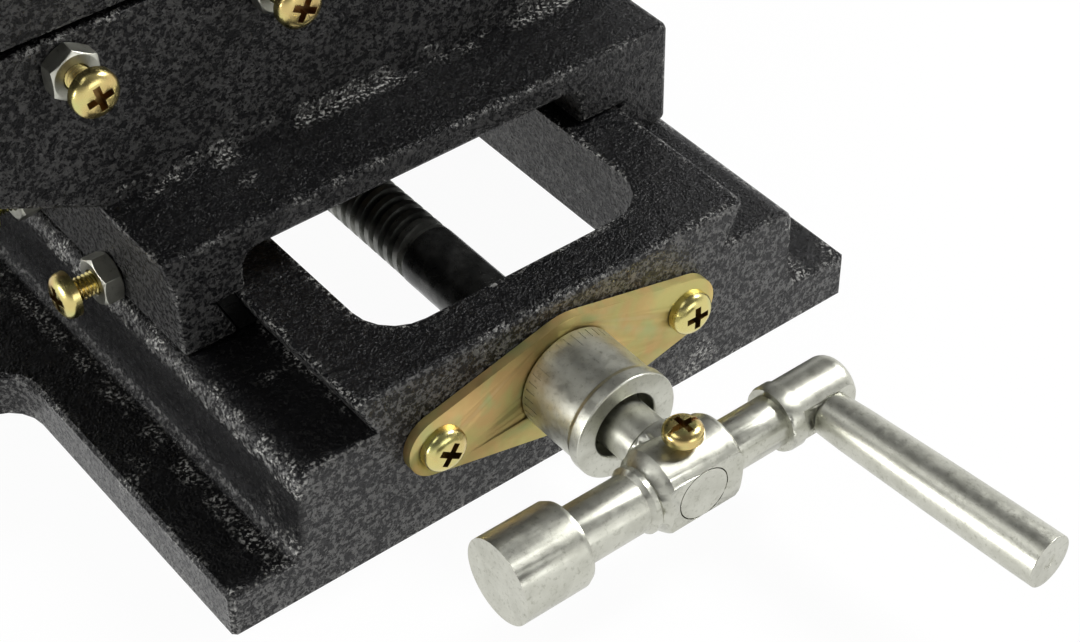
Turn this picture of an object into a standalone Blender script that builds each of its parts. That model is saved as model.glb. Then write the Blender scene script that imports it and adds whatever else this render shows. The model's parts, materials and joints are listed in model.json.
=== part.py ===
"""Cross slide vise for a drill press: base, saddle, vise body, moving jaw and three crank screws.

Metres, +Z up. X runs along the base's front face, Y runs away from it along the cross screw.
The origin is on the underside of the front wall, below the cross screw's axis.
"""

import math

import bmesh
import bpy
from mathutils import Matrix, Vector

# Base casting
BASE_WIDTH = 0.186
BASE_LENGTH = 0.236
FLANGE_THICK = 0.0128
FRONT_WALL = 0.0136
COVE_FOOT_INSET = 0.0157
COVE_DIP = 0.00015
COVE_HEIGHT = 0.0085
SHELF_INSET = 0.0195
SHELF_ROUND = 0.0045
SHELF_Z = 0.0381
WAY_ROOT_INSET = 0.0415
WAY_TOP_INSET = 0.0363
WAY_TOP_Z = 0.0495
OPENING_WIDTH = 0.079
OPENING_CORNER = 0.012
CAVITY_WIDTH = 0.119
CAVITY_HEIGHT = 0.0258
CASTING_EDGE = 0.0015
FLANGE_EDGE = 0.0010

# Mounting ears of the base
EAR_LENGTH = 0.042
EAR_REACH = 0.026
EAR_ROOT_FILLET = 0.011
EAR_CORNER = 0.007
EAR_SLOT_WIDTH = 0.0125
EAR_SLOT_DEPTH = 0.021

# Saddle casting
SADDLE_START = 0.0466
SADDLE_LENGTH = 0.1412
SADDLE_FOOT_INSET = 0.0213
SADDLE_KNEE_INSET = 0.0209
SADDLE_KNEE_Z = 0.0573
LEDGE_INSET = 0.0182
LEDGE_RIGHT_INSET = 0.0214
LEDGE_Z = 0.0680
RELIEF_LEFT = 0.0539
RELIEF_RIGHT = 0.0437
RELIEF_Z = 0.0605
RELIEF_FILLET = 0.005
GUIDE_LENGTH = 0.206
GUIDE_END_Z = 0.0818
JOINT_Z = 0.1168
WELL_LENGTH = 0.080
WELL_WIDTH = 0.040
WELL_FLOOR_Z = 0.083
WELL_CORNER = 0.006

# Vise body casting
BODY_LENGTH = 0.310
BODY_WIDTH = 0.0904
BED_Z = 0.1513
BED_THICK = 0.0078
BODY_WAY_HEIGHT = 0.0190
BODY_WAY_INSET = 0.017
BODY_WAY_SPREAD = 0.0087
CHANNEL_WIDTH = 0.034
BODY_END_WALL = 0.014
JOINT_LINE_GAP = 0.0014
BODY_CORNER = 0.006

# Jaws
JAW_WIDTH = 0.150
JAW_HEIGHT = 0.032
FIXED_JAW_THICK = 0.038
JAW_WING_THICK = 0.020
JAW_PLATE_THICK = 0.006
JAW_PLATE_HEIGHT = 0.030
MOVING_JAW_LENGTH = 0.050
JAW_OPENING = 0.040
JAW_TOP_SLOPE = 0.007
JAW_SLOT_WIDTH = 0.020
JAW_SLOT_LENGTH = 0.190
TONGUE_LENGTH = 0.042
KEEPER_WIDTH = 0.030
KEEPER_THICK = 0.0022
JAW_SCREW_RISE = 0.0165
FIXED_JAW_BACK_INSET = 0.003
NUT_BOSS_LENGTH = 0.032
NUT_BOSS_OUT = 0.003
NUT_BOSS_RADIUS = 0.0155
JAW_SEAT_DEPTH = 0.018
JAW_END_NECK_RADIUS = 0.0052
JAW_END_NECK_LENGTH = 0.0046
JAW_HUB_CLEARANCE = 0.0160
RETAINER_WIDTH = 0.038
RETAINER_HEIGHT = 0.025
RETAINER_THICK = 0.004

# Screws, collars and bearing plates
CROSS_AXIS_Z = 0.0276
LONG_AXIS_RISE = 0.0100
SCREW_RADIUS = 0.0081
JOURNAL_RADIUS = 0.00825
SPINDLE_RADIUS = 0.0067
TAIL_RADIUS = 0.0060
PLAIN_LENGTH = 0.0515
THRUST_RADIUS = 0.0125
THRUST_THICK = 0.0055
HUB_FACE_REACH = 0.0514
SPINDLE_STEP_REACH = 0.0200
PLATE_THICK = 0.0025
PLATE_END_RADIUS = 0.0085
PLATE_MIDDLE_RADIUS = 0.0172
PLATE_SCREW_SPACING = 0.0733
COLLAR_REACH = 0.0246
COLLAR_RADIUS = 0.0136
COLLAR_RIM_RADIUS = 0.0143
COLLAR_RIM_WIDTH = 0.0035
COLLAR_BORE_RADIUS = 0.00855

# Crank, which is alike on the three screws
BAR_AXIS_DEPTH = 0.0078
HUB_RADIUS = 0.0094
HUB_LEFT = 0.0145
HUB_RIGHT = 0.0110
HUB_RING_RADIUS = 0.0082
HUB_RING_WIDTH = 0.0030
NECK_RADIUS = 0.0063
COUNTERWEIGHT_RADIUS = 0.0106
COUNTERWEIGHT_START = 0.0327
COUNTERWEIGHT_END = 0.0515
BOSS_RADIUS = 0.0082
BOSS_START = 0.0268
BOSS_END = 0.0480
BOSS_FLAT_DEPTH = 0.0060
CRANK_CHAMFER = 0.0012
GRIP_OFFSET = 0.0385
GRIP_LENGTH = 0.0628
GRIP_ROOT_RADIUS = 0.0055
GRIP_NECK_RADIUS = 0.0042
GRIP_MIDDLE_RADIUS = 0.0063
GRIP_END_RADIUS = 0.0066
GRIP_CHAMFER = 0.0010
GRIP_LEAN = 5.0
SET_SCREW_RADIUS = 0.0025
SET_SCREW_HEAD_RADIUS = 0.0048
SET_SCREW_HEAD_HEIGHT = 0.0034
SET_SCREW_OUT = 0.0028
CROSS_CRANK_ANGLE = 0.0
LONG_CRANK_ANGLE = -24.0
JAW_CRANK_ANGLE = 28.0

# Gibs, nuts and fasteners
GIB_THICK = 0.0045
GIB_END_GAP = 0.001
GIB_SCREW_RADIUS = 0.0030
GIB_SCREW_OUT = 0.0058
GIB_TIP_RADIUS = 0.0012
GIB_TIP_LENGTH = 0.0018
LOCK_NUT_FLATS = 0.0115
LOCK_NUT_THICK = 0.0052
PAN_HEAD_RADIUS = 0.0058
PAN_HEAD_HEIGHT = 0.0040
PLATE_SCREW_LENGTH = 0.012
CROSS_GIB_SCREW_RISE = 0.0054
CROSS_GIB_SCREW_START = 0.0310
CROSS_GIB_SCREW_PITCH = 0.0396
CROSS_GIB_SCREW_COUNT = 3
LONG_GIB_SCREW_DROP = 0.0075
LONG_GIB_SCREW_PITCH = 0.0516
LONG_GIB_SCREW_COUNT = 4
CROSS_NUT_LENGTH = 0.030
CROSS_NUT_RADIUS = 0.0145
NUT_FLANGE_SPAN = 0.060
NUT_FLANGE_THICK = 0.008
NUT_SCREW_SPACING = 0.044
NUT_SCREW_RADIUS = 0.0030
NUT_SCREW_HEAD_RADIUS = 0.0050
NUT_SCREW_HEAD_HEIGHT = 0.0055
NUT_SCREW_GRIP = 0.012
LONG_NUT_LENGTH = 0.030
LONG_NUT_WIDTH = 0.027
LONG_NUT_TOP = 0.0100
JAW_PLATE_SCREW_SPACING = 0.090
JAW_PLATE_SCREW_RADIUS = 0.0030
JAW_PLATE_SCREW_HEAD_RADIUS = 0.0058
JAW_PLATE_SCREW_LENGTH = 0.018
KEEPER_SCREW_SPACING = 0.026
KEEPER_SCREW_RADIUS = 0.0025
KEEPER_SCREW_LENGTH = 0.014
RETAINER_SCREW_SPACING = 0.027
RETAINER_SCREW_RADIUS = 0.0020
RETAINER_SCREW_HEAD_RADIUS = 0.0038
RETAINER_SCREW_LENGTH = 0.010

# Clearances
SEAT_GAP = 0.0003
HOLE_GAP = 0.0003
OVERRUN = 0.004

# Counts of facets
ROUND_SIDES = 20
SMALL_SIDES = 12
ARC_STEPS = 5
ROUND_STEPS = 3
CROWN_STEPS = 2

# The radius below which a turned profile's point is on its axis, and how close points are merged
AXIS_TOLERANCE = 1e-7
MERGE_DISTANCE = 1e-6

# Places that follow from the sizes above
FRONT_FACE_Y = -FRONT_WALL / 2
BACK_FACE_Y = FRONT_FACE_Y + BASE_LENGTH
BASE_HALF = BASE_WIDTH / 2
WAY_ROOT_HALF = BASE_HALF - WAY_ROOT_INSET
WAY_TOP_HALF = BASE_HALF - WAY_TOP_INSET
WAY_SLOPE = (WAY_TOP_HALF - WAY_ROOT_HALF) / (WAY_TOP_Z - SHELF_Z)
SADDLE_FRONT_Y = FRONT_FACE_Y + SADDLE_START
SADDLE_BACK_Y = SADDLE_FRONT_Y + SADDLE_LENGTH
BODY_Y = (SADDLE_FRONT_Y + SADDLE_BACK_Y) / 2
GUIDE_FRONT_Y = BODY_Y - BODY_WIDTH / 2
BODY_HALF = BODY_LENGTH / 2
BODY_BASE_Z = JOINT_Z + JOINT_LINE_GAP
WAY_FOOT_Z = JOINT_Z - BODY_WAY_HEIGHT
LONG_AXIS_Z = JOINT_Z + LONG_AXIS_RISE
CHANNEL_TOP_Z = BED_Z - BED_THICK
JAW_AXIS_Z = BED_Z + JAW_SCREW_RISE
JAW_TOP_Z = BED_Z + JAW_HEIGHT
FIXED_FACE_X = -BODY_HALF + FIXED_JAW_THICK
MOVING_FACE_X = FIXED_FACE_X + SEAT_GAP + JAW_PLATE_THICK + JAW_OPENING + JAW_PLATE_THICK + SEAT_GAP
MOVING_BACK_X = MOVING_FACE_X + MOVING_JAW_LENGTH
HUB_AXIS_REACH = HUB_FACE_REACH - BAR_AXIS_DEPTH
JAW_CRANK_REACH = JAW_OPENING + JAW_HUB_CLEARANCE


def clear_scene():
    for thing in list(bpy.data.objects):
        bpy.data.objects.remove(thing, do_unlink=True)


def new_collection(name):
    collection = bpy.data.collections.new(name)
    bpy.context.scene.collection.children.link(collection)
    return collection


clear_scene()
PARTS = new_collection("cross_slide_vise")
CUTTERS = new_collection("cutters")


def make_material(name, color, roughness, metallic):
    material = bpy.data.materials.new(name)
    material.use_nodes = True
    shader = material.node_tree.nodes["Principled BSDF"]
    shader.inputs["Base Color"].default_value = (*color, 1)
    shader.inputs["Roughness"].default_value = roughness
    shader.inputs["Metallic"].default_value = metallic
    material.diffuse_color = (*color, 1)
    return material


FINISHES = {
    "hammertone": ((0.035, 0.035, 0.038), 0.45, 0.1),
    "black_steel": ((0.06, 0.06, 0.065), 0.4, 0.9),
    "bright_steel": ((0.62, 0.62, 0.60), 0.35, 1.0),
    "zinc": ((0.66, 0.67, 0.62), 0.35, 1.0),
    "yellow_zinc": ((0.75, 0.60, 0.28), 0.3, 1.0),
    "bronze": ((0.62, 0.42, 0.18), 0.4, 1.0),
}


def finish(thing, name, finish_name):
    """Name a finished piece, give it a material of its own and keep it among the parts."""
    thing.name = name
    thing.data.name = name
    for collection in list(thing.users_collection):
        collection.objects.unlink(thing)
    PARTS.objects.link(thing)
    thing.data.materials.clear()
    thing.data.materials.append(make_material(name + "_finish", *FINISHES[finish_name]))
    thing.hide_render = False
    thing.display_type = "TEXTURED"
    thing.data.shade_smooth()
    thing.data.set_sharp_from_angle(angle=math.radians(35))
    return thing


def work_object(mesh):
    thing = bpy.data.objects.new("work", mesh)
    CUTTERS.objects.link(thing)
    thing.hide_render = True
    thing.display_type = "WIRE"
    return thing


def settle(thing):
    """Apply an object's modifiers, so that it can be cut, joined or moved as plain mesh."""
    graph = bpy.context.evaluated_depsgraph_get()
    mesh = bpy.data.meshes.new_from_object(thing.evaluated_get(graph))
    thing.modifiers.clear()
    thing.data = mesh
    return thing


def combine(thing, other, operation):
    modifier = thing.modifiers.new("combine", "BOOLEAN")
    modifier.solver = "EXACT"
    modifier.operation = operation
    modifier.object = other
    settle(thing)
    bpy.data.objects.remove(other, do_unlink=True)
    return thing


def cut(thing, *cutters):
    for cutter in cutters:
        combine(thing, cutter, "DIFFERENCE")
    return thing


def fuse(thing, *others):
    for other in others:
        combine(thing, other, "UNION")
    return thing


def finish_each(things, name, finish_name):
    """Name repeated pieces by number, from one."""
    for number, thing in enumerate(things, 1):
        finish(thing, name + "_" + str(number), finish_name)


def moved(thing, matrix):
    thing.data.transform(matrix)
    return thing


def shifted(thing, x=0, y=0, z=0):
    return moved(thing, Matrix.Translation((x, y, z)))


def prism(points, low, high):
    """A flat outline in X and Y, filled as one face and extruded from low to high in Z."""
    shape = bmesh.new()
    corners = [shape.verts.new((x, y, low)) for x, y in points]
    sides = [shape.edges.new((corners[i - 1], corners[i])) for i in range(len(corners))]
    bmesh.ops.contextual_create(shape, geom=sides)
    raised = bmesh.ops.extrude_face_region(shape, geom=shape.faces[:])
    lifted = [item for item in raised["geom"] if isinstance(item, bmesh.types.BMVert)]
    bmesh.ops.translate(shape, verts=lifted, vec=(0, 0, high - low))
    bmesh.ops.recalc_face_normals(shape, faces=shape.faces)
    mesh = bpy.data.meshes.new("outline")
    shape.to_mesh(mesh)
    shape.free()
    return work_object(mesh)


# A prism drawn in X and Z and swept along Y, and one drawn in Y and Z and swept along X
SWEEP_Y = Matrix(((1, 0, 0, 0), (0, 0, -1, 0), (0, 1, 0, 0), (0, 0, 0, 1)))
SWEEP_X = Matrix(((0, 0, 1, 0), (1, 0, 0, 0), (0, 1, 0, 0), (0, 0, 0, 1)))


def prism_along_y(points, low, high):
    return moved(prism(points, -high, -low), SWEEP_Y)


def prism_along_x(points, low, high):
    return moved(prism(points, low, high), SWEEP_X)


def block(low, high):
    """A box between two corners."""
    mesh = bpy.data.meshes.new("block")
    shape = bmesh.new()
    size = [b - a for a, b in zip(low, high)]
    middle = [(a + b) / 2 for a, b in zip(low, high)]
    bmesh.ops.create_cube(shape, size=1, matrix=Matrix.Translation(middle) @ Matrix.Diagonal((*size, 1)))
    shape.to_mesh(mesh)
    shape.free()
    return work_object(mesh)


def turned(profile, sides=ROUND_SIDES):
    """A solid of revolution about Z. The profile lists (radius, height) from the top down."""
    mesh = bpy.data.meshes.new("profile")
    top = profile[0][1]
    bottom = profile[-1][1]
    rows = [(radius if radius > AXIS_TOLERANCE else 0, height) for radius, height in profile]
    if rows[0][0] > 0:
        rows.insert(0, (0, top))
    if rows[-1][0] > 0:
        rows.append((0, bottom))
    points = [(radius, 0, height) for radius, height in rows]
    edges = [(i, i + 1) for i in range(len(points) - 1)]
    mesh.from_pydata(points, edges, [])
    thing = work_object(mesh)
    screw = thing.modifiers.new("turn", "SCREW")
    screw.steps = sides
    screw.render_steps = sides
    screw.use_merge_vertices = True
    screw.merge_threshold = MERGE_DISTANCE
    screw.use_smooth_shade = False
    return settle(thing)


def ring(profile, bore, sides=ROUND_SIDES):
    """A turned solid with a plain round bore right through it."""
    heights = [height for _, height in profile]
    return cut(turned(profile, sides), rod(bore, min(heights) - OVERRUN, max(heights) + OVERRUN, sides))


def rod(radius, low, high, sides=ROUND_SIDES):
    return turned([(radius, high), (radius, low)], sides)


def softened(thing, width, segments=2):
    """Round the outer corners of a casting or block before it is cut, and leave its inner corners sharp."""
    shape = bmesh.new()
    shape.from_mesh(thing.data)
    sharp = math.radians(40)
    corners = [edge for edge in shape.edges if edge.is_convex and edge.calc_face_angle(0) > sharp]
    bmesh.ops.bevel(
        shape, geom=corners, offset=width, segments=segments, profile=0.5, affect="EDGES", clamp_overlap=True
    )
    shape.to_mesh(thing.data)
    shape.free()
    return thing


def arc(center, radius, start, end, steps=ARC_STEPS, squash=1):
    """Points along an arc, with angles in degrees, squash being the Y radius as a share of the X radius."""
    points = []
    for i in range(steps + 1):
        angle = math.radians(start + (end - start) * i / steps)
        points.append((center[0] + radius * math.cos(angle), center[1] + radius * squash * math.sin(angle)))
    return points


def rounded_rectangle(x0, y0, x1, y1, radius):
    return (
        arc((x1 - radius, y1 - radius), radius, 0, 90)
        + arc((x0 + radius, y1 - radius), radius, 90, 180)
        + arc((x0 + radius, y0 + radius), radius, 180, 270)
        + arc((x1 - radius, y0 + radius), radius, 270, 360)
    )


def mirrored(points):
    """Close a symmetric outline from the half of it with positive first coordinate, bottom to top."""
    return points + [(-x, y) for x, y in reversed(points)]


def axis_matrix(place, heading):
    """A frame at place whose Z points out of the machine along a screw, heading in degrees about Z."""
    turn = Matrix.Rotation(math.radians(heading), 4, "Z")
    return Matrix.Translation(place) @ turn @ Matrix.Rotation(math.radians(90), 4, "X")


CROSS_FRAME = axis_matrix((0, FRONT_FACE_Y, CROSS_AXIS_Z), 0)
LONG_FRAME = axis_matrix((-BODY_HALF, BODY_Y, LONG_AXIS_Z), -90)
JAW_FRAME = axis_matrix((BODY_HALF, BODY_Y, JAW_AXIS_Z), 90)


def pan_head_screw(length, radius=GIB_SCREW_RADIUS, head_radius=PAN_HEAD_RADIUS, head_height=PAN_HEAD_HEIGHT):
    """A pan head screw along Z: its head's underside is at zero and its shank points down."""
    crown = head_height / 2
    profile = arc((0, head_height - crown), head_radius, 90, 0, CROWN_STEPS, crown / head_radius)
    profile += [(head_radius, 0), (radius, 0), (radius, -length)]
    return turned(profile, SMALL_SIDES)


def countersunk_screw(length, radius, head_radius):
    """A flat head screw along Z: its head's top is at zero."""
    depth = head_radius - radius
    profile = [(head_radius, 0), (radius, -depth), (radius, -length)]
    return turned(profile, SMALL_SIDES)


def cap_screw(length, radius=NUT_SCREW_RADIUS, head_radius=NUT_SCREW_HEAD_RADIUS):
    profile = [(head_radius, NUT_SCREW_HEAD_HEIGHT), (head_radius, 0), (radius, 0), (radius, -length)]
    return turned(profile, SMALL_SIDES)


# Base casting

def make_base():
    ear_end_x = BASE_HALF + EAR_REACH
    ear_middle_y = (FRONT_FACE_Y + BACK_FACE_Y) / 2
    ear_back_y = ear_middle_y + EAR_LENGTH / 2
    ear_front_y = ear_middle_y - EAR_LENGTH / 2
    slot_end_x = ear_end_x - EAR_SLOT_DEPTH
    fillet = EAR_ROOT_FILLET
    half = [(BASE_HALF, FRONT_FACE_Y)]
    half += arc((BASE_HALF + fillet, ear_front_y - fillet), fillet, 180, 90)
    half += arc((ear_end_x - EAR_CORNER, ear_front_y + EAR_CORNER), EAR_CORNER, -90, 0)
    half += arc((ear_end_x - EAR_CORNER, ear_back_y - EAR_CORNER), EAR_CORNER, 0, 90)
    half += arc((BASE_HALF + fillet, ear_back_y + fillet), fillet, 270, 180)
    half += [(BASE_HALF, BACK_FACE_Y)]
    flange = softened(prism(mirrored(half), -OVERRUN, FLANGE_THICK), FLANGE_EDGE, 1)
    reach = ear_end_x + OVERRUN
    near = (-reach, FRONT_FACE_Y - OVERRUN, -2 * OVERRUN)
    cut(flange, block(near, (reach, BACK_FACE_Y + OVERRUN, 0)))

    cove_foot = BASE_HALF - COVE_FOOT_INSET
    shelf_edge = BASE_HALF - SHELF_INSET
    cove_run = cove_foot - shelf_edge
    cove_low = cove_foot + cove_run
    section = [(cove_low, CASTING_EDGE * 2), (cove_low, FLANGE_THICK - CASTING_EDGE)]
    cove_top = FLANGE_THICK + COVE_HEIGHT - COVE_DIP
    section += arc((cove_foot, cove_top), cove_run, 270, 180, ARC_STEPS, COVE_HEIGHT / cove_run)
    section += arc((shelf_edge - SHELF_ROUND, SHELF_Z - SHELF_ROUND), SHELF_ROUND, 0, 90, ROUND_STEPS)
    section += [(WAY_ROOT_HALF, SHELF_Z), (WAY_TOP_HALF, WAY_TOP_Z)]
    pedestal = softened(prism_along_y(mirrored(section), FRONT_FACE_Y, BACK_FACE_Y), CASTING_EDGE)
    base = fuse(flange, pedestal)

    inner_front = FRONT_FACE_Y + FRONT_WALL
    inner_back = BACK_FACE_Y - FRONT_WALL
    opening = OPENING_WIDTH / 2
    window = rounded_rectangle(-opening, inner_front, opening, inner_back, OPENING_CORNER)
    cut(base, prism(window, CAVITY_HEIGHT - OVERRUN, WAY_TOP_Z + OVERRUN))
    cavity = CAVITY_WIDTH / 2
    hollow = rounded_rectangle(-cavity, inner_front, cavity, inner_back, OPENING_CORNER)
    cut(base, prism(hollow, -OVERRUN, CAVITY_HEIGHT))

    for side in (-1, 1):
        slot_radius = EAR_SLOT_WIDTH / 2
        mouth_x = ear_end_x + OVERRUN
        slot = [(mouth_x, ear_middle_y - slot_radius), (mouth_x, ear_middle_y + slot_radius)]
        slot += arc((slot_end_x + slot_radius, ear_middle_y), slot_radius, 90, 270, ARC_STEPS * 2)
        slot = [(side * x, y) for x, y in slot]
        cut(base, prism(slot, -OVERRUN, FLANGE_THICK + OVERRUN))

    cut(base, *bearing_cutters(CROSS_FRAME, FRONT_WALL))
    tail = rod(TAIL_RADIUS + HOLE_GAP, -BASE_LENGTH - OVERRUN, -BASE_LENGTH + FRONT_WALL + OVERRUN)
    cut(base, moved(tail, CROSS_FRAME))
    return finish(base, "base_casting", "hammertone")


def bearing_cutters(frame, wall):
    """Cutters for a screw's journal, its thrust flange and the two screws of its bearing plate."""
    journal = JOURNAL_RADIUS + HOLE_GAP
    pocket = THRUST_RADIUS + HOLE_GAP
    floor = -THRUST_THICK - 2 * SEAT_GAP
    bore = turned([(pocket, OVERRUN), (pocket, floor), (journal, floor), (journal, -wall - OVERRUN)])
    cutters = [moved(bore, frame)]
    depth = PLATE_SCREW_LENGTH - PLATE_THICK
    for side in (-1, 1):
        hole = rod(GIB_SCREW_RADIUS + HOLE_GAP, -depth, OVERRUN, SMALL_SIDES)
        cutters.append(moved(shifted(hole, x=side * PLATE_SCREW_SPACING / 2), frame))
    return cutters


# Screws with their bearing plates, collars and cranks

def make_bearing_plate(name, frame):
    """A lens shaped plate that keeps the screw's thrust flange in the casting."""
    reach = PLATE_SCREW_SPACING / 2
    low = SEAT_GAP
    high = SEAT_GAP + PLATE_THICK
    lean = math.degrees(math.asin((PLATE_MIDDLE_RADIUS - PLATE_END_RADIUS) / reach))
    quarter = arc((reach, 0), PLATE_END_RADIUS, 0, 90 - lean)
    quarter += arc((0, 0), PLATE_MIDDLE_RADIUS, 90 - lean, 90)
    half = quarter + [(-x, y) for x, y in reversed(quarter[:-1])]
    outline = half + [(x, -y) for x, y in reversed(half[1:-1])]
    plate = prism(outline, low, high)
    cut(plate, rod(JOURNAL_RADIUS + HOLE_GAP, low - OVERRUN, high + OVERRUN))
    for side in (-1, 1):
        hole = rod(GIB_SCREW_RADIUS + HOLE_GAP, low - OVERRUN, high + OVERRUN, SMALL_SIDES)
        cut(plate, shifted(hole, x=side * reach))
    moved(plate, frame)
    return finish(plate, name, "yellow_zinc")


def make_plate_screws(name, frame):
    head_seat = 2 * SEAT_GAP + PLATE_THICK
    screws = []
    for side in (-1, 1):
        screw = pan_head_screw(PLATE_SCREW_LENGTH)
        screws.append(moved(shifted(screw, x=side * PLATE_SCREW_SPACING / 2, z=head_seat), frame))
    finish_each(screws, name, "yellow_zinc")


def make_collar(name, frame):
    low = 2 * SEAT_GAP + PLATE_THICK
    rim = COLLAR_REACH - COLLAR_RIM_WIDTH
    chamfer = COLLAR_RIM_RADIUS - COLLAR_RADIUS
    profile = [
        (COLLAR_RIM_RADIUS - chamfer, COLLAR_REACH),
        (COLLAR_RIM_RADIUS, COLLAR_REACH - chamfer),
        (COLLAR_RIM_RADIUS, rim),
        (COLLAR_RADIUS, rim - chamfer),
        (COLLAR_RADIUS, low + chamfer),
        (COLLAR_RADIUS - chamfer, low),
    ]
    return finish(moved(ring(profile, COLLAR_BORE_RADIUS), frame), name, "zinc")


def make_lead_screw(name, frame, tail_end, tail_length):
    """The screw from its crank end to its far journal; tail_end is how far it reaches inside."""
    thrust_top = -SEAT_GAP
    thrust_foot = thrust_top - THRUST_THICK
    runout = JOURNAL_RADIUS - TAIL_RADIUS
    profile = [
        (SPINDLE_RADIUS, HUB_FACE_REACH),
        (SPINDLE_RADIUS, SPINDLE_STEP_REACH),
        (JOURNAL_RADIUS, SPINDLE_STEP_REACH - runout),
        (JOURNAL_RADIUS, thrust_top),
        (THRUST_RADIUS, thrust_top),
        (THRUST_RADIUS, thrust_foot),
        (JOURNAL_RADIUS, thrust_foot),
        (JOURNAL_RADIUS, -PLAIN_LENGTH),
        (SCREW_RADIUS, -PLAIN_LENGTH),
        (SCREW_RADIUS, -tail_end + tail_length + runout),
        (TAIL_RADIUS, -tail_end + tail_length),
        (TAIL_RADIUS, -tail_end),
    ]
    return finish(moved(turned(profile), frame), name, "black_steel")


def crank_frame(frame, reach, angle):
    """The frame of a crank: Z out along the screw, X along the bar to the grip, zero on the bar's axis."""
    return frame @ Matrix.Translation((0, 0, reach)) @ Matrix.Rotation(math.radians(angle), 4, "Z")


ALONG_BAR = Matrix.Rotation(math.radians(90), 4, "Y")


def make_crank_arm(name, frame):
    """Counterweight, bar, flattened hub and flattened boss, turned about the bar's axis."""
    chamfer = CRANK_CHAMFER
    ring_start = -HUB_LEFT + HUB_RING_WIDTH
    profile = [
        (BOSS_RADIUS - chamfer, BOSS_END),
        (BOSS_RADIUS, BOSS_END - chamfer),
        (BOSS_RADIUS, BOSS_START + chamfer),
        (BOSS_RADIUS - chamfer, BOSS_START),
        (NECK_RADIUS, BOSS_START),
        (NECK_RADIUS, HUB_RIGHT),
        (HUB_RADIUS - chamfer, HUB_RIGHT),
        (HUB_RADIUS, HUB_RIGHT - chamfer),
        (HUB_RADIUS, ring_start + chamfer),
        (HUB_RING_RADIUS, ring_start),
        (HUB_RING_RADIUS, -HUB_LEFT + chamfer),
        (NECK_RADIUS, -HUB_LEFT),
        (NECK_RADIUS, -COUNTERWEIGHT_START),
        (COUNTERWEIGHT_RADIUS - chamfer, -COUNTERWEIGHT_START),
        (COUNTERWEIGHT_RADIUS, -COUNTERWEIGHT_START - chamfer),
        (COUNTERWEIGHT_RADIUS, -COUNTERWEIGHT_END + chamfer),
        (COUNTERWEIGHT_RADIUS - chamfer, -COUNTERWEIGHT_END),
    ]
    arm = moved(turned(profile), ALONG_BAR)
    spans = (
        (-HUB_LEFT + HUB_RING_WIDTH, HUB_RIGHT + chamfer, BAR_AXIS_DEPTH, HUB_RADIUS),
        (BOSS_START - chamfer, BOSS_END + chamfer, BOSS_FLAT_DEPTH, BOSS_RADIUS),
    )
    for start, end, flat, radius in spans:
        wide = radius + OVERRUN
        cut(arm, block((start, -wide, flat), (end, wide, wide)))
        cut(arm, block((start, -wide, -wide), (end, wide, -flat)))
    cut(arm, rod(SPINDLE_RADIUS + HOLE_GAP, -HUB_RADIUS - OVERRUN, HUB_RADIUS + OVERRUN))
    socket = rod(GRIP_NECK_RADIUS + HOLE_GAP, -BOSS_RADIUS - OVERRUN, BOSS_RADIUS + OVERRUN, SMALL_SIDES)
    cut(arm, moved(socket, grip_lean_matrix()))
    hole = rod(SET_SCREW_RADIUS + HOLE_GAP, 0, HUB_RADIUS + OVERRUN, SMALL_SIDES)
    cut(arm, moved(hole, SET_SCREW_TURN))
    return finish(moved(arm, frame), name, "zinc")


def grip_lean_matrix():
    return Matrix.Translation((GRIP_OFFSET, 0, 0)) @ Matrix.Rotation(math.radians(GRIP_LEAN), 4, "Y")


# The set screw enters the hub square to both the bar and the screw
SET_SCREW_TURN = Matrix.Rotation(math.radians(-90), 4, "X")


def make_crank_grip(name, frame):
    """A slightly tapered grip whose neck is pressed into the boss."""
    lean_lift = GRIP_ROOT_RADIUS * math.tan(math.radians(GRIP_LEAN))
    root = BOSS_FLAT_DEPTH + SEAT_GAP + lean_lift
    end = root + GRIP_LENGTH
    middle = (root + end) / 2
    profile = [
        (GRIP_END_RADIUS - GRIP_CHAMFER, end),
        (GRIP_END_RADIUS, end - GRIP_CHAMFER),
        (GRIP_MIDDLE_RADIUS, middle),
        (GRIP_ROOT_RADIUS, root),
        (GRIP_NECK_RADIUS, root),
        (GRIP_NECK_RADIUS, -BOSS_FLAT_DEPTH),
    ]
    grip = moved(turned(profile), grip_lean_matrix())
    return finish(moved(grip, frame), name, "zinc")


def make_crank_screw(name, frame):
    """The pan head set screw that pins the hub to the screw."""
    seat = HUB_RADIUS + SET_SCREW_OUT
    length = seat - SPINDLE_RADIUS - SEAT_GAP
    screw = pan_head_screw(length, SET_SCREW_RADIUS, SET_SCREW_HEAD_RADIUS, SET_SCREW_HEAD_HEIGHT)
    moved(shifted(screw, z=seat), SET_SCREW_TURN)
    return finish(moved(screw, frame), name, "yellow_zinc")


def make_crank(prefix, frame, reach, angle):
    placed = crank_frame(frame, reach, angle)
    make_crank_arm(prefix + "_crank_arm", placed)
    make_crank_grip(prefix + "_crank_grip", placed)
    make_crank_screw(prefix + "_crank_screw", placed)


def make_feed_screw(prefix, frame, tail_end, tail_length, angle):
    make_bearing_plate(prefix + "_bearing_plate", frame)
    make_plate_screws(prefix + "_plate_screw", frame)
    make_collar(prefix + "_collar", frame)
    make_lead_screw(prefix + "_lead_screw", frame, tail_end, tail_length)
    make_crank(prefix, frame, HUB_AXIS_REACH, angle)


# Saddle casting with its gibs and nuts

FOOT_Z = SHELF_Z + SEAT_GAP
PAD_Z = WAY_TOP_Z + SEAT_GAP
GIB_RUN = GIB_THICK + 2 * SEAT_GAP


LEDGE_LEFT_X = -BASE_HALF + LEDGE_INSET
LEDGE_RIGHT_X = BASE_HALF - LEDGE_RIGHT_INSET


def flank(z, offset):
    """Half width of a surface beside the base's way at height z."""
    return WAY_ROOT_HALF + offset + WAY_SLOPE * (z - SHELF_Z)


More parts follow.
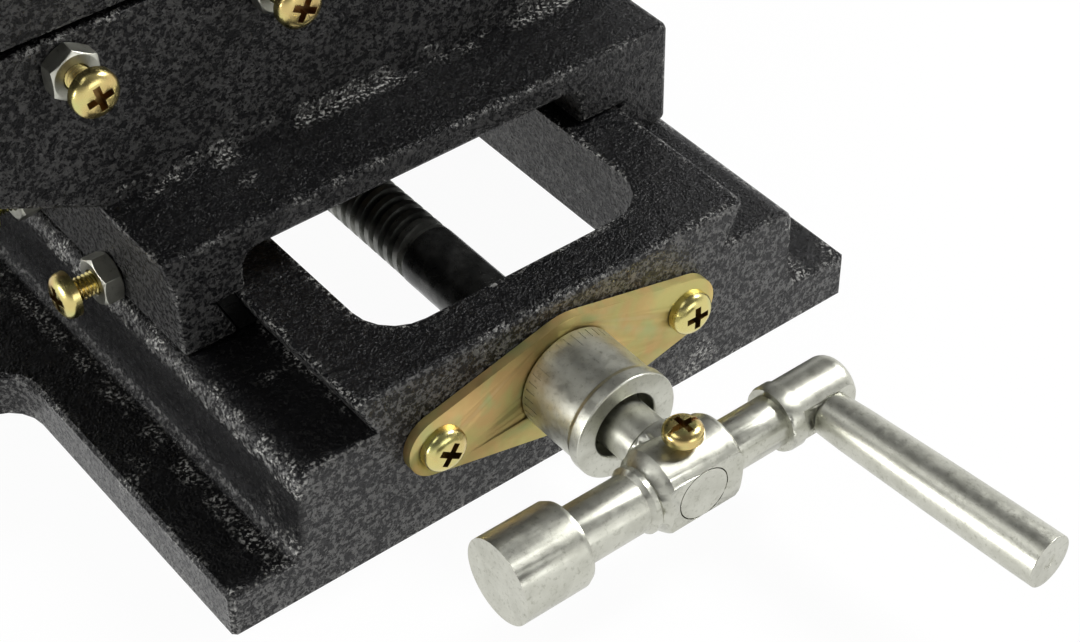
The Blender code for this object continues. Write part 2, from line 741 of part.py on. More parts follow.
BODY_WAY_ROOT_HALF = BODY_WIDTH / 2 - BODY_WAY_INSET
BODY_WAY_FOOT_HALF = BODY_WAY_ROOT_HALF + BODY_WAY_SPREAD
BODY_WAY_SLOPE = BODY_WAY_SPREAD / (BODY_WAY_HEIGHT + JOINT_LINE_GAP)
GROOVE_FLOOR_Z = WAY_FOOT_Z - SEAT_GAP


def body_flank(z, offset):
    """Half width of a surface beside the body's way at height z."""
    return BODY_WAY_FOOT_HALF + offset - BODY_WAY_SLOPE * (z - WAY_FOOT_Z)


def saddle_section():
    """The lower block's section in X and Z, with the groove for the base's way."""
    foot = BASE_HALF - SADDLE_FOOT_INSET
    knee = BASE_HALF - SADDLE_KNEE_INSET
    fillet = RELIEF_FILLET
    points = [(foot, FOOT_Z), (LEDGE_RIGHT_X, LEDGE_Z), (LEDGE_LEFT_X, LEDGE_Z)]
    points += [(-knee, SADDLE_KNEE_Z), (-foot, FOOT_Z)]
    points += [(-flank(FOOT_Z, GIB_RUN), FOOT_Z), (-flank(PAD_Z, GIB_RUN), PAD_Z), (-RELIEF_LEFT, PAD_Z)]
    points += arc((-RELIEF_LEFT + fillet, RELIEF_Z - fillet), fillet, 180, 90)
    points += arc((RELIEF_RIGHT - fillet, RELIEF_Z - fillet), fillet, 90, 0)
    points += [(RELIEF_RIGHT, PAD_Z), (flank(PAD_Z, SEAT_GAP), PAD_Z), (flank(FOOT_Z, SEAT_GAP), FOOT_Z)]
    return points


def make_saddle():
    lower = softened(prism_along_y(saddle_section(), SADDLE_FRONT_Y, SADDLE_BACK_Y), CASTING_EDGE)
    guide_half = GUIDE_LENGTH / 2
    depth = CASTING_EDGE * 2
    guide = [(LEDGE_RIGHT_X - depth, LEDGE_Z - depth), (LEDGE_RIGHT_X, LEDGE_Z)]
    guide += [(guide_half, GUIDE_END_Z), (guide_half, JOINT_Z)]
    guide += [(-guide_half, JOINT_Z), (-guide_half, GUIDE_END_Z)]
    guide += [(LEDGE_LEFT_X, LEDGE_Z), (LEDGE_LEFT_X + depth, LEDGE_Z - depth)]
    upper = softened(prism_along_y(guide, GUIDE_FRONT_Y, GUIDE_FRONT_Y + BODY_WIDTH), CASTING_EDGE)
    saddle = fuse(lower, upper)

    top = JOINT_Z + OVERRUN
    groove = [
        (BODY_Y - body_flank(GROOVE_FLOOR_Z, GIB_RUN), GROOVE_FLOOR_Z),
        (BODY_Y + body_flank(GROOVE_FLOOR_Z, SEAT_GAP), GROOVE_FLOOR_Z),
        (BODY_Y + body_flank(top, SEAT_GAP), top),
        (BODY_Y - body_flank(top, GIB_RUN), top),
    ]
    cut(saddle, prism_along_x(groove, -guide_half - OVERRUN, guide_half + OVERRUN))
    well_x = WELL_LENGTH / 2
    well_y = WELL_WIDTH / 2
    well = rounded_rectangle(-well_x, BODY_Y - well_y, well_x, BODY_Y + well_y, WELL_CORNER)
    cut(saddle, prism(well, WELL_FLOOR_Z, GROOVE_FLOOR_Z + OVERRUN))

    for frame in cross_gib_screw_frames() + long_gib_screw_frames():
        cut(saddle, moved(rod(GIB_SCREW_RADIUS + HOLE_GAP, -WELL_WIDTH / 2, OVERRUN, SMALL_SIDES), frame))
    for side in (-1, 1):
        x = side * NUT_SCREW_SPACING / 2
        upward = rod(NUT_SCREW_RADIUS + HOLE_GAP, RELIEF_Z - OVERRUN, RELIEF_Z + NUT_SCREW_GRIP, SMALL_SIDES)
        cut(saddle, shifted(upward, x=x, y=BODY_Y))
        low = WELL_FLOOR_Z - NUT_SCREW_GRIP
        downward = rod(NUT_SCREW_RADIUS + HOLE_GAP, low, WELL_FLOOR_Z + OVERRUN, SMALL_SIDES)
        cut(saddle, shifted(downward, x=x, y=BODY_Y))
    return finish(saddle, "saddle_casting", "hammertone")


def make_cross_gib():
    low = FOOT_Z
    high = WAY_TOP_Z
    section = [
        (-flank(low, SEAT_GAP), low),
        (-flank(high, SEAT_GAP), high),
        (-flank(high, SEAT_GAP + GIB_THICK), high),
        (-flank(low, SEAT_GAP + GIB_THICK), low),
    ]
    gib = prism_along_y(section, SADDLE_FRONT_Y + GIB_END_GAP, SADDLE_BACK_Y - GIB_END_GAP)
    return finish(gib, "cross_gib", "black_steel")


def make_long_gib():
    low = WAY_FOOT_Z
    high = JOINT_Z - GIB_END_GAP
    section = [
        (BODY_Y - body_flank(low, SEAT_GAP), low),
        (BODY_Y - body_flank(high, SEAT_GAP), high),
        (BODY_Y - body_flank(high, SEAT_GAP + GIB_THICK), high),
        (BODY_Y - body_flank(low, SEAT_GAP + GIB_THICK), low),
    ]
    reach = GUIDE_LENGTH / 2 - GIB_END_GAP
    return finish(prism_along_x(section, -reach, reach), "long_gib", "black_steel")


CROSS_GIB_SCREW_Z = SHELF_Z + CROSS_GIB_SCREW_RISE
LONG_GIB_SCREW_Z = JOINT_Z - LONG_GIB_SCREW_DROP


def saddle_side_x(z):
    """Half width of the saddle's lower side at height z, below the knee."""
    share = (z - FOOT_Z) / (SADDLE_KNEE_Z - FOOT_Z)
    foot = BASE_HALF - SADDLE_FOOT_INSET
    knee = BASE_HALF - SADDLE_KNEE_INSET
    return foot + (knee - foot) * share


def cross_gib_screw_frames():
    """Frames on the saddle's left side, Z pointing out of the casting."""
    frames = []
    for i in range(CROSS_GIB_SCREW_COUNT):
        y = SADDLE_FRONT_Y + CROSS_GIB_SCREW_START + i * CROSS_GIB_SCREW_PITCH
        frames.append(axis_matrix((-saddle_side_x(CROSS_GIB_SCREW_Z), y, CROSS_GIB_SCREW_Z), -90))
    return frames


def long_gib_screw_frames():
    """Frames on the saddle's front, Z pointing out of the casting."""
    frames = []
    for i in range(LONG_GIB_SCREW_COUNT):
        x = (i - (LONG_GIB_SCREW_COUNT - 1) / 2) * LONG_GIB_SCREW_PITCH
        frames.append(axis_matrix((x, GUIDE_FRONT_Y, LONG_GIB_SCREW_Z), 0))
    return frames


def gib_screw(depth):
    """A pan head screw with a pointed tip that reaches depth below the casting's surface."""
    head_seat = SEAT_GAP + LOCK_NUT_THICK + GIB_SCREW_OUT
    crown = PAN_HEAD_HEIGHT / 2
    profile = arc((0, PAN_HEAD_HEIGHT - crown), PAN_HEAD_RADIUS, 90, 0, CROWN_STEPS, crown / PAN_HEAD_RADIUS)
    profile = [(x, y + head_seat) for x, y in profile]
    profile += [
        (PAN_HEAD_RADIUS, head_seat),
        (GIB_SCREW_RADIUS, head_seat),
        (GIB_SCREW_RADIUS, -depth + GIB_TIP_LENGTH),
        (GIB_TIP_RADIUS, -depth),
    ]
    return turned(profile, SMALL_SIDES)


def lock_nut():
    corner = LOCK_NUT_FLATS / math.sqrt(3)
    angles = [math.tau * i / 6 for i in range(6)]
    outline = [(corner * math.cos(angle), corner * math.sin(angle)) for angle in angles]
    nut = prism(outline, SEAT_GAP, SEAT_GAP + LOCK_NUT_THICK)
    return cut(nut, rod(GIB_SCREW_RADIUS + HOLE_GAP, -OVERRUN, LOCK_NUT_THICK + OVERRUN, SMALL_SIDES))


def make_gib_screws(prefix, frames, depth):
    screws = [moved(gib_screw(depth), frame) for frame in frames]
    finish_each(screws, prefix + "_gib_screw", "yellow_zinc")
    nuts = [moved(lock_nut(), frame) for frame in frames]
    finish_each(nuts, prefix + "_gib_nut", "zinc")


def cross_gib_screw_depth():
    z = CROSS_GIB_SCREW_Z + GIB_TIP_RADIUS
    return saddle_side_x(CROSS_GIB_SCREW_Z) - flank(z, 2 * SEAT_GAP + GIB_THICK)


def long_gib_screw_depth():
    z = LONG_GIB_SCREW_Z - GIB_TIP_RADIUS
    return BODY_WIDTH / 2 - body_flank(z, 2 * SEAT_GAP + GIB_THICK)


def make_cross_nut():
    """The nut of the cross screw, hung from the saddle's roof."""
    front = BODY_Y - CROSS_NUT_LENGTH / 2
    back = BODY_Y + CROSS_NUT_LENGTH / 2
    top = RELIEF_Z - SEAT_GAP
    shoulder = top - NUT_FLANGE_THICK
    radius = CROSS_NUT_RADIUS
    span = NUT_FLANGE_SPAN / 2
    half = [(radius, CROSS_AXIS_Z), (radius, shoulder), (span, shoulder), (span, top)]
    below = arc((0, CROSS_AXIS_Z), radius, 180, 360, ARC_STEPS * 2)
    outline = half + [(-x, z) for x, z in reversed(half)] + below[1:-1]
    nut = prism_along_y(outline, front, back)
    bore = rod(SCREW_RADIUS + HOLE_GAP, -BASE_LENGTH, OVERRUN)
    cut(nut, moved(bore, CROSS_FRAME))
    screws = []
    for side in (-1, 1):
        x = side * NUT_SCREW_SPACING / 2
        hole = rod(NUT_SCREW_RADIUS + HOLE_GAP, shoulder - OVERRUN, top + OVERRUN, SMALL_SIDES)
        cut(nut, shifted(hole, x=x, y=BODY_Y))
        screw = cap_screw(NUT_FLANGE_THICK + NUT_SCREW_GRIP - OVERRUN)
        turned_over = moved(screw, Matrix.Rotation(math.radians(180), 4, "X"))
        screws.append(shifted(turned_over, x=x, y=BODY_Y, z=shoulder - SEAT_GAP))
    finish(nut, "cross_nut", "bronze")
    finish_each(screws, "cross_nut_screw", "black_steel")


def make_long_nut():
    """The nut of the long screw, standing in the saddle's well."""
    low = WELL_FLOOR_Z + SEAT_GAP
    shoulder = low + NUT_FLANGE_THICK
    top = LONG_AXIS_Z + LONG_NUT_TOP
    half_span = NUT_FLANGE_SPAN / 2
    half_length = LONG_NUT_LENGTH / 2
    half = [(half_span, low), (half_span, shoulder), (half_length, shoulder), (half_length, top)]
    half_width = LONG_NUT_WIDTH / 2
    nut = prism_along_y(mirrored(half), BODY_Y - half_width, BODY_Y + half_width)
    cut(nut, moved(rod(SCREW_RADIUS + HOLE_GAP, -BODY_LENGTH, OVERRUN), LONG_FRAME))
    screws = []
    for side in (-1, 1):
        x = side * NUT_SCREW_SPACING / 2
        hole = rod(NUT_SCREW_RADIUS + HOLE_GAP, low - OVERRUN, shoulder + OVERRUN, SMALL_SIDES)
        cut(nut, shifted(hole, x=x, y=BODY_Y))
        screw = cap_screw(NUT_FLANGE_THICK + NUT_SCREW_GRIP - OVERRUN)
        screws.append(shifted(screw, x=x, y=BODY_Y, z=shoulder + SEAT_GAP))
    finish(nut, "long_nut", "bronze")
    finish_each(screws, "long_nut_screw", "black_steel")


# Vise body casting

def body_section():
    """The body's section in Y and Z: the bed and the way below it."""
    half = [(BODY_WAY_FOOT_HALF, WAY_FOOT_Z), (BODY_WAY_ROOT_HALF, BODY_BASE_Z)]
    half += [(BODY_WIDTH / 2, BODY_BASE_Z), (BODY_WIDTH / 2, BED_Z)]
    return [(BODY_Y + y, z) for y, z in mirrored(half)]


def jaw_plan(back, front):
    """A jaw's outline from above, wide at its face and a little narrower than the body behind it."""
    toward = 1 if front > back else -1
    wing = front - toward * JAW_WING_THICK
    slope = toward * (JAW_WIDTH - BODY_WIDTH) / 4
    half_body = BODY_WIDTH / 2 - CASTING_EDGE
    half_jaw = JAW_WIDTH / 2
    half = [(front, half_jaw), (wing, half_jaw), (wing - slope, half_body), (back, half_body)]
    return [(x, BODY_Y - y) for x, y in half] + [(x, BODY_Y + y) for x, y in reversed(half)]


def make_body():
    body = softened(prism_along_x(body_section(), -BODY_HALF, BODY_HALF), CASTING_EDGE)
    fixed_jaw = prism(jaw_plan(-BODY_HALF + FIXED_JAW_BACK_INSET, FIXED_FACE_X), BED_Z - BED_THICK, JAW_TOP_Z)
    fuse(body, softened(fixed_jaw, CASTING_EDGE, 1))
    boss_low = BED_Z - CASTING_EDGE * 2
    radius = NUT_BOSS_RADIUS
    boss = [(BODY_Y + radius + JAW_SCREW_RISE / 2, boss_low)]
    boss += [(BODY_Y + y, z) for y, z in arc((0, JAW_AXIS_Z), radius, 20, 160, ARC_STEPS * 2)]
    boss += [(BODY_Y - radius - JAW_SCREW_RISE / 2, boss_low)]
    nut_boss = prism_along_x(boss, BODY_HALF - NUT_BOSS_LENGTH, BODY_HALF + NUT_BOSS_OUT)
    fuse(body, softened(nut_boss, CASTING_EDGE, 1))

    inner = BODY_HALF - BODY_END_WALL
    half_channel = CHANNEL_WIDTH / 2
    channel = rounded_rectangle(-inner, BODY_Y - half_channel, inner, BODY_Y + half_channel, BODY_CORNER)
    cut(body, prism(channel, WAY_FOOT_Z - OVERRUN, CHANNEL_TOP_Z))
    slot_start = FIXED_FACE_X + JAW_PLATE_THICK + 2 * OVERRUN
    slot_half = JAW_SLOT_WIDTH / 2
    slot_end = slot_start + JAW_SLOT_LENGTH
    slot = rounded_rectangle(slot_start, BODY_Y - slot_half, slot_end, BODY_Y + slot_half, OVERRUN)
    cut(body, prism(slot, CHANNEL_TOP_Z - OVERRUN, BED_Z + OVERRUN))

    cut(body, *bearing_cutters(LONG_FRAME, BODY_END_WALL))
    tail = rod(TAIL_RADIUS + HOLE_GAP, -BODY_LENGTH - OVERRUN, -BODY_LENGTH + BODY_END_WALL + OVERRUN)
    cut(body, moved(tail, LONG_FRAME))
    nut_bore = rod(SCREW_RADIUS + HOLE_GAP, -NUT_BOSS_LENGTH - OVERRUN, NUT_BOSS_OUT + OVERRUN)
    cut(body, moved(nut_bore, JAW_FRAME))
    for frame in jaw_plate_screw_frames(FIXED_FACE_X, 1):
        hole = rod(JAW_PLATE_SCREW_RADIUS + HOLE_GAP, -JAW_PLATE_SCREW_LENGTH, OVERRUN, SMALL_SIDES)
        cut(body, moved(hole, frame))
    return finish(body, "vise_body_casting", "hammertone")


# Jaw plates

def jaw_plate_screw_frames(face_x, toward):
    """Frames on a jaw's face, Z pointing at the other jaw."""
    heading = 90 if toward > 0 else -90
    z = BED_Z + SEAT_GAP + JAW_PLATE_HEIGHT / 2
    places = (-JAW_PLATE_SCREW_SPACING / 2, JAW_PLATE_SCREW_SPACING / 2)
    return [axis_matrix((face_x, BODY_Y + y, z), heading) for y in places]


def make_jaw_plate(prefix, face_x, toward):
    start = face_x + toward * SEAT_GAP
    end = start + toward * JAW_PLATE_THICK
    low = BED_Z + SEAT_GAP
    half = JAW_WIDTH / 2
    plate = block(
        (min(start, end), BODY_Y - half, low),
        (max(start, end), BODY_Y + half, low + JAW_PLATE_HEIGHT),
    )
    softened(plate, SEAT_GAP * 2, 1)
    screws = []
    for frame in jaw_plate_screw_frames(face_x, toward):
        top = SEAT_GAP + JAW_PLATE_THICK
        radius = JAW_PLATE_SCREW_RADIUS + HOLE_GAP
        head = JAW_PLATE_SCREW_HEAD_RADIUS + HOLE_GAP
        profile = [(head + OVERRUN, top + OVERRUN), (radius, top - head + radius), (radius, -OVERRUN)]
        cut(plate, moved(turned(profile, SMALL_SIDES), frame))
        screw = countersunk_screw(JAW_PLATE_SCREW_LENGTH, JAW_PLATE_SCREW_RADIUS, JAW_PLATE_SCREW_HEAD_RADIUS)
        screws.append(moved(shifted(screw, z=top - SEAT_GAP), frame))
    finish(plate, prefix + "_jaw_plate", "bright_steel")
    finish_each(screws, prefix + "_jaw_plate_screw", "black_steel")


# Moving jaw with its tongue, keeper and screw retainer

def tongue_middle_x():
    return MOVING_FACE_X + MOVING_JAW_LENGTH / 2


def make_moving_jaw():
    low = BED_Z + SEAT_GAP
    jaw = prism(jaw_plan(MOVING_BACK_X, MOVING_FACE_X), low, JAW_TOP_Z)
    softened(jaw, CASTING_EDGE, 1)
    slope = [
        (MOVING_FACE_X + JAW_WING_THICK, JAW_TOP_Z + OVERRUN),
        (MOVING_FACE_X + JAW_WING_THICK, JAW_TOP_Z),
        (MOVING_BACK_X + OVERRUN, JAW_TOP_Z - JAW_TOP_SLOPE),
        (MOVING_BACK_X + OVERRUN, JAW_TOP_Z + OVERRUN),
    ]
    cut(jaw, prism_along_y(slope, BODY_Y - BODY_WIDTH, BODY_Y + BODY_WIDTH))
    tongue_x = tongue_middle_x()
    half_tongue = TONGUE_LENGTH / 2
    tongue_side = JAW_SLOT_WIDTH / 2 - SEAT_GAP
    foot = CHANNEL_TOP_Z - SEAT_GAP
    tongue = block(
        (tongue_x - half_tongue, BODY_Y - tongue_side, foot),
        (tongue_x + half_tongue, BODY_Y + tongue_side, low + OVERRUN),
    )
    fuse(jaw, tongue)
    seat = rod(SCREW_RADIUS + HOLE_GAP, -JAW_SEAT_DEPTH, OVERRUN)
    cut(jaw, moved(seat, retainer_frame()))
    for frame in retainer_screw_frames():
        hole = rod(RETAINER_SCREW_RADIUS + HOLE_GAP, -RETAINER_SCREW_LENGTH, OVERRUN, SMALL_SIDES)
        cut(jaw, moved(hole, frame))
    for frame in jaw_plate_screw_frames(MOVING_FACE_X, -1):
        hole = rod(JAW_PLATE_SCREW_RADIUS + HOLE_GAP, -JAW_PLATE_SCREW_LENGTH, OVERRUN, SMALL_SIDES)
        cut(jaw, moved(hole, frame))
    for x in keeper_screw_places():
        hole = rod(KEEPER_SCREW_RADIUS + HOLE_GAP, foot - OVERRUN, foot + KEEPER_SCREW_LENGTH, SMALL_SIDES)
        cut(jaw, shifted(hole, x=x, y=BODY_Y))
    return finish(jaw, "moving_jaw_casting", "hammertone")


def keeper_screw_places():
    middle = tongue_middle_x()
    return (middle - KEEPER_SCREW_SPACING / 2, middle + KEEPER_SCREW_SPACING / 2)


def make_keeper():
    """The plate under the bed that keeps the moving jaw down, with its two screws."""
    middle = tongue_middle_x()
    half_length = TONGUE_LENGTH / 2
    half_width = KEEPER_WIDTH / 2
    high = CHANNEL_TOP_Z - 2 * SEAT_GAP
    low = high - KEEPER_THICK
    near = (middle - half_length, BODY_Y - half_width, low)
    far = (middle + half_length, BODY_Y + half_width, high)
    keeper = block(near, far)
    screws = []
    for x in keeper_screw_places():
        radius = KEEPER_SCREW_RADIUS + HOLE_GAP
        head = KEEPER_SCREW_RADIUS + KEEPER_THICK / 2
        wide = head + HOLE_GAP
        profile = [(radius, high + OVERRUN), (radius, low + wide - radius), (wide + OVERRUN, low - OVERRUN)]
        cut(keeper, shifted(turned(profile, SMALL_SIDES), x=x, y=BODY_Y))
        screw = countersunk_screw(KEEPER_SCREW_LENGTH, KEEPER_SCREW_RADIUS, head)
        moved(screw, Matrix.Rotation(math.radians(180), 4, "X"))
        screws.append(shifted(screw, x=x, y=BODY_Y, z=low + SEAT_GAP))
    finish(keeper, "jaw_keeper_plate", "bright_steel")
    finish_each(screws, "jaw_keeper_screw", "black_steel")


def retainer_frame():
    """The frame on the moving jaw's back, Z pointing along the jaw screw to its crank."""
    return axis_matrix((MOVING_BACK_X, BODY_Y, JAW_AXIS_Z), 90)


def retainer_screw_frames():
    frame = retainer_frame()
    half = RETAINER_SCREW_SPACING / 2
    return [frame @ Matrix.Translation((side * half, 0, 0)) for side in (-1, 1)]


def make_retainer():
    """A plate, open below, that holds the jaw screw's end in the moving jaw."""
    low = SEAT_GAP
    high = low + RETAINER_THICK
    half_width = RETAINER_WIDTH / 2
    neck = JAW_END_NECK_RADIUS + HOLE_GAP
    top = RETAINER_HEIGHT / 2
    opening = arc((0, 0), neck, 0, 180, ARC_STEPS * 2)
    outline = [(half_width, -top), (half_width, top), (-half_width, top), (-half_width, -top), (-neck, -top)]
    outline += list(reversed(opening)) + [(neck, -top)]
    plate = prism(outline, low, high)
    frame = retainer_frame()
    moved(plate, frame)
    screws = []
    for place in retainer_screw_frames():
        hole = rod(RETAINER_SCREW_RADIUS + HOLE_GAP, low - OVERRUN, high + OVERRUN, SMALL_SIDES)
        cut(plate, moved(hole, place))
        head = RETAINER_SCREW_HEAD_RADIUS
        rise = head - RETAINER_SCREW_RADIUS / 2
        screw = pan_head_screw(RETAINER_SCREW_LENGTH, RETAINER_SCREW_RADIUS, head, rise)
        screws.append(moved(shifted(screw, z=high + SEAT_GAP), place))
    finish(plate, "jaw_screw_retainer", "bright_steel")
    finish_each(screws, "jaw_retainer_screw", "black_steel")


# Jaw screw

def make_jaw_screw():
    """The screw that drives the moving jaw, from its crank to the head inside the jaw."""
    jaw_back = MOVING_BACK_X - BODY_HALF
    neck_out = jaw_back + JAW_END_NECK_LENGTH
    neck_in = jaw_back - SEAT_GAP
    end = jaw_back - JAW_SEAT_DEPTH + SEAT_GAP
    face = JAW_CRANK_REACH + BAR_AXIS_DEPTH
    shoulder = JAW_CRANK_REACH - HUB_RADIUS - SEAT_GAP
    profile = [
        (SPINDLE_RADIUS, face),
        (SPINDLE_RADIUS, shoulder),
        (SCREW_RADIUS, shoulder),
        (SCREW_RADIUS, neck_out),
        (JAW_END_NECK_RADIUS, neck_out),
        (JAW_END_NECK_RADIUS, neck_in),
        (SCREW_RADIUS, neck_in),
        (SCREW_RADIUS, end),
    ]
    screw = moved(turned(profile), JAW_FRAME)
    return finish(screw, "jaw_screw", "black_steel")


# Moving bodies

def body_table():
    """Each body's parent, the place of its joint and how the names of its pieces start, parents first."""
    saddle_pieces = ("saddle_casting", "cross_gib", "long_gib", "cross_nut", "long_nut")
    table_pieces = ("vise_body_casting", "long_bearing_plate", "long_plate_screw", "fixed_jaw_plate")
    jaw_pieces = ("moving_jaw", "jaw_keeper", "jaw_retainer", "jaw_screw_retainer")
    return {
        "base": (None, (0, 0, 0), ("base_casting", "cross_bearing_plate", "cross_plate_screw")),
        "cross_screw": ("base", CROSS_FRAME.translation, ("cross_lead_screw", "cross_collar", "cross_crank")),
        "saddle": ("base", (0, BODY_Y, SHELF_Z), saddle_pieces),
        "table": ("saddle", (0, BODY_Y, JOINT_Z), table_pieces),
        "long_screw": ("table", LONG_FRAME.translation, ("long_lead_screw", "long_collar", "long_crank")),
        "jaw": ("table", (MOVING_FACE_X, BODY_Y, BED_Z), jaw_pieces),
        "jaw_screw": ("jaw", JAW_FRAME.translation, ("jaw_screw", "jaw_crank")),
    }


def hang_on_bodies():
    """Give each body an empty on its joint's axis and hang its pieces there, without moving them."""
    waiting = list(PARTS.objects)
    places = {}
    for name, (parent, place, starts) in body_table().items():
        places[name] = Vector(place)
        empty = bpy.data.objects.new(name + "_body", None)
        empty.empty_display_size = SHELF_Z
        PARTS.objects.link(empty)
        empty.location = places[name]
        if parent:
            empty.parent = bpy.data.objects[parent + "_body"]
            empty.location = places[name] - places[parent]
        for thing in [piece for piece in waiting if piece.name.startswith(starts)]:
            moved(thing, Matrix.Translation(-places[name]))
            thing.parent = empty
            waiting.remove(thing)


def build():
    make_base()
    make_feed_screw("cross", CROSS_FRAME, BASE_LENGTH, FRONT_WALL, CROSS_CRANK_ANGLE)
    make_saddle()
    make_cross_gib()
    make_long_gib()
    make_gib_screws("cross", cross_gib_screw_frames(), cross_gib_screw_depth())
    make_gib_screws("long", long_gib_screw_frames(), long_gib_screw_depth())
    make_cross_nut()
    make_long_nut()
    make_body()
    make_feed_screw("long", LONG_FRAME, BODY_LENGTH, BODY_END_WALL, LONG_CRANK_ANGLE)
    make_jaw_plate("fixed", FIXED_FACE_X, 1)
    make_jaw_plate("moving", MOVING_FACE_X, -1)
    make_moving_jaw()
    make_keeper()
    make_retainer()
    make_jaw_screw()
    make_crank("jaw", JAW_FRAME, JAW_CRANK_REACH, JAW_CRANK_ANGLE)
    hang_on_bodies()


build()
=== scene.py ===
"""Looks of the cross slide vise: finishes, threads, recessed screws, fine cranks, light and camera."""

import json
import math

import bpy
from mathutils import Matrix, Vector


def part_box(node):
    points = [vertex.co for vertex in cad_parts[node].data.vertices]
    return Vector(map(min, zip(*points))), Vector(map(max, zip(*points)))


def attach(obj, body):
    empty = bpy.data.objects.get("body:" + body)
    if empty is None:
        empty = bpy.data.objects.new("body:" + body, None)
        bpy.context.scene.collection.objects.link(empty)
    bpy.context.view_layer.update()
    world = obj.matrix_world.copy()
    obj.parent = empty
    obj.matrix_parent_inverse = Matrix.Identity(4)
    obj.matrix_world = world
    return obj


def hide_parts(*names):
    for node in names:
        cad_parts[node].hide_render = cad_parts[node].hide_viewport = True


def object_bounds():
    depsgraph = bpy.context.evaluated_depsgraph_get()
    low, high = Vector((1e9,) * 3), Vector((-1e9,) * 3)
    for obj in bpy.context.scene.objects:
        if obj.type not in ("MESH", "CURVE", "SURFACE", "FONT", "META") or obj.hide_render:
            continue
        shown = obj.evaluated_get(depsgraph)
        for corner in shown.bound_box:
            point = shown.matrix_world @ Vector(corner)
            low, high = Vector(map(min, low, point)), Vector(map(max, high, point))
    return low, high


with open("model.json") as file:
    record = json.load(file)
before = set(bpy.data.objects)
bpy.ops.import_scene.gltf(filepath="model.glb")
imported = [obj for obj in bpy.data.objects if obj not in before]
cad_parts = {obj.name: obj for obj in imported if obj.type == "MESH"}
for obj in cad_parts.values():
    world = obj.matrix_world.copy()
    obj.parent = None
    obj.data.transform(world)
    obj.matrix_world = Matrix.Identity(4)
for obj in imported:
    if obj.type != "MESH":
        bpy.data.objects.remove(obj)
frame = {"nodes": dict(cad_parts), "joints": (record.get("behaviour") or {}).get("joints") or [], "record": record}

cad_box = [list(corner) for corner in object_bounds()]

# Camera, set to the photograph's view of the vise's front left corner
CAMERA_PLACE = (-0.2526, -0.3262, 0.4142)
CAMERA_HEADING = 37.72
CAMERA_TILT = 42.38
CAMERA_ROLL = 0.65
CAMERA_LENS = 80.17
SENSOR_WIDTH = 36.0

# Lead screws
THREAD_PITCH = 0.004
THREAD_CREST = 0.0081
THREAD_ROOT = 0.0062
THREAD_CREST_SHARE = 0.46
THREAD_ROOT_SHARE = 0.20
JOURNAL_RADIUS = 0.00825
SPINDLE_RADIUS = 0.0067
TAIL_RADIUS = 0.0060
TAIL_LENGTH = 0.0136
PLAIN_LENGTH = 0.0515
THRUST_RADIUS = 0.0125
THRUST_THICK = 0.0055
HUB_FACE_REACH = 0.0514
SPINDLE_STEP_REACH = 0.0200

# Collar and bearing plate
PLATE_THICK = 0.0025
PLATE_END_RADIUS = 0.0085
PLATE_MIDDLE_RADIUS = 0.0172
PLATE_SCREW_SPACING = 0.0733
COLLAR_REACH = 0.0246
COLLAR_RADIUS = 0.0136
COLLAR_RIM_RADIUS = 0.0143
COLLAR_RIM_WIDTH = 0.0035
COLLAR_BORE_RADIUS = 0.00855
COLLAR_MARKS = 40
MARK_WIDTH = 0.00028
MARK_DEPTH = 0.00018
MARK_LENGTH = 0.0030
LONG_MARK_LENGTH = 0.0046
SEAT_GAP = 0.0003

# Crank
BAR_AXIS_DEPTH = 0.0078
HUB_RADIUS = 0.0104
HUB_SEAT = 0.0094
HUB_LEFT = 0.0145
HUB_RIGHT = 0.0110
HUB_RING_RADIUS = 0.0082
HUB_RING_WIDTH = 0.0030
HUB_BOSS_RADIUS = 0.0091
HUB_BOSS_HEIGHT = 0.0022
NECK_RADIUS = 0.0063
BAR_RADIUS = 0.0071
COUNTERWEIGHT_RADIUS = 0.0106
COUNTERWEIGHT_START = 0.0327
COUNTERWEIGHT_END = 0.0515
BOSS_RADIUS = 0.0082
BOSS_START = 0.0268
BOSS_END = 0.0480
BOSS_FLAT_DEPTH = 0.0060
GRIP_OFFSET = 0.0385
GRIP_LENGTH = 0.0627
GRIP_ROOT_RADIUS = 0.0055
GRIP_NECK_RADIUS = 0.0042
GRIP_MIDDLE_RADIUS = 0.0063
GRIP_END_RADIUS = 0.0066
GRIP_LEAN = 5.0
CRANK_ANGLES = {"cross": 0.0, "long": -24.0, "jaw": 28.0}
SMALL_EDGE = 0.0005

# Screws and nuts
M6_RADIUS = 0.0030
M6_ROOT = 0.0025
M6_PITCH = 0.0010
M6_HEAD_RADIUS = 0.0058
M6_HEAD_HEIGHT = 0.0040
M5_RADIUS = 0.0025
M5_HEAD_RADIUS = 0.0048
M5_HEAD_HEIGHT = 0.0034
SET_SCREW_OUT = 0.0028
CSK_RADIUS = 0.0030
CSK_HEAD_RADIUS = 0.0057
CSK_SOCKET_RADIUS = 0.0023
CSK_SOCKET_DEPTH = 0.0026
NUT_FLATS = 0.0115
NUT_THICK = 0.0052

# Bands of worn specks that also stand for painted highlights, and a band of painted shade on the cove wall: axis,
# distance, reach, lowest and highest height
COVE_FOOT_BAND = ("X", 0.0796, 0.0030, 0.0118, 0.0146)
SHELF_EDGE_BAND = ("X", 0.0724, 0.0028, 0.0315, 0.0390)
COVE_WALL_SHADE_BAND = ("X", 0.0750, 0.0045, 0.0150, 0.0330)
LEDGE_CORNER_BAND = ("Y", 0.0640, 0.0036, 0.0665, 0.0720)

ROUND_SIDES = 64
SMALL_SIDES = 32
MERGE_DISTANCE = 1e-6


# Tools for modelling

def deselect():
    if bpy.context.object and bpy.context.object.mode != "OBJECT":
        bpy.ops.object.mode_set(mode="OBJECT")
    bpy.ops.object.select_all(action="DESELECT")


def pick(thing):
    deselect()
    thing.select_set(True)
    bpy.context.view_layer.objects.active = thing
    return thing


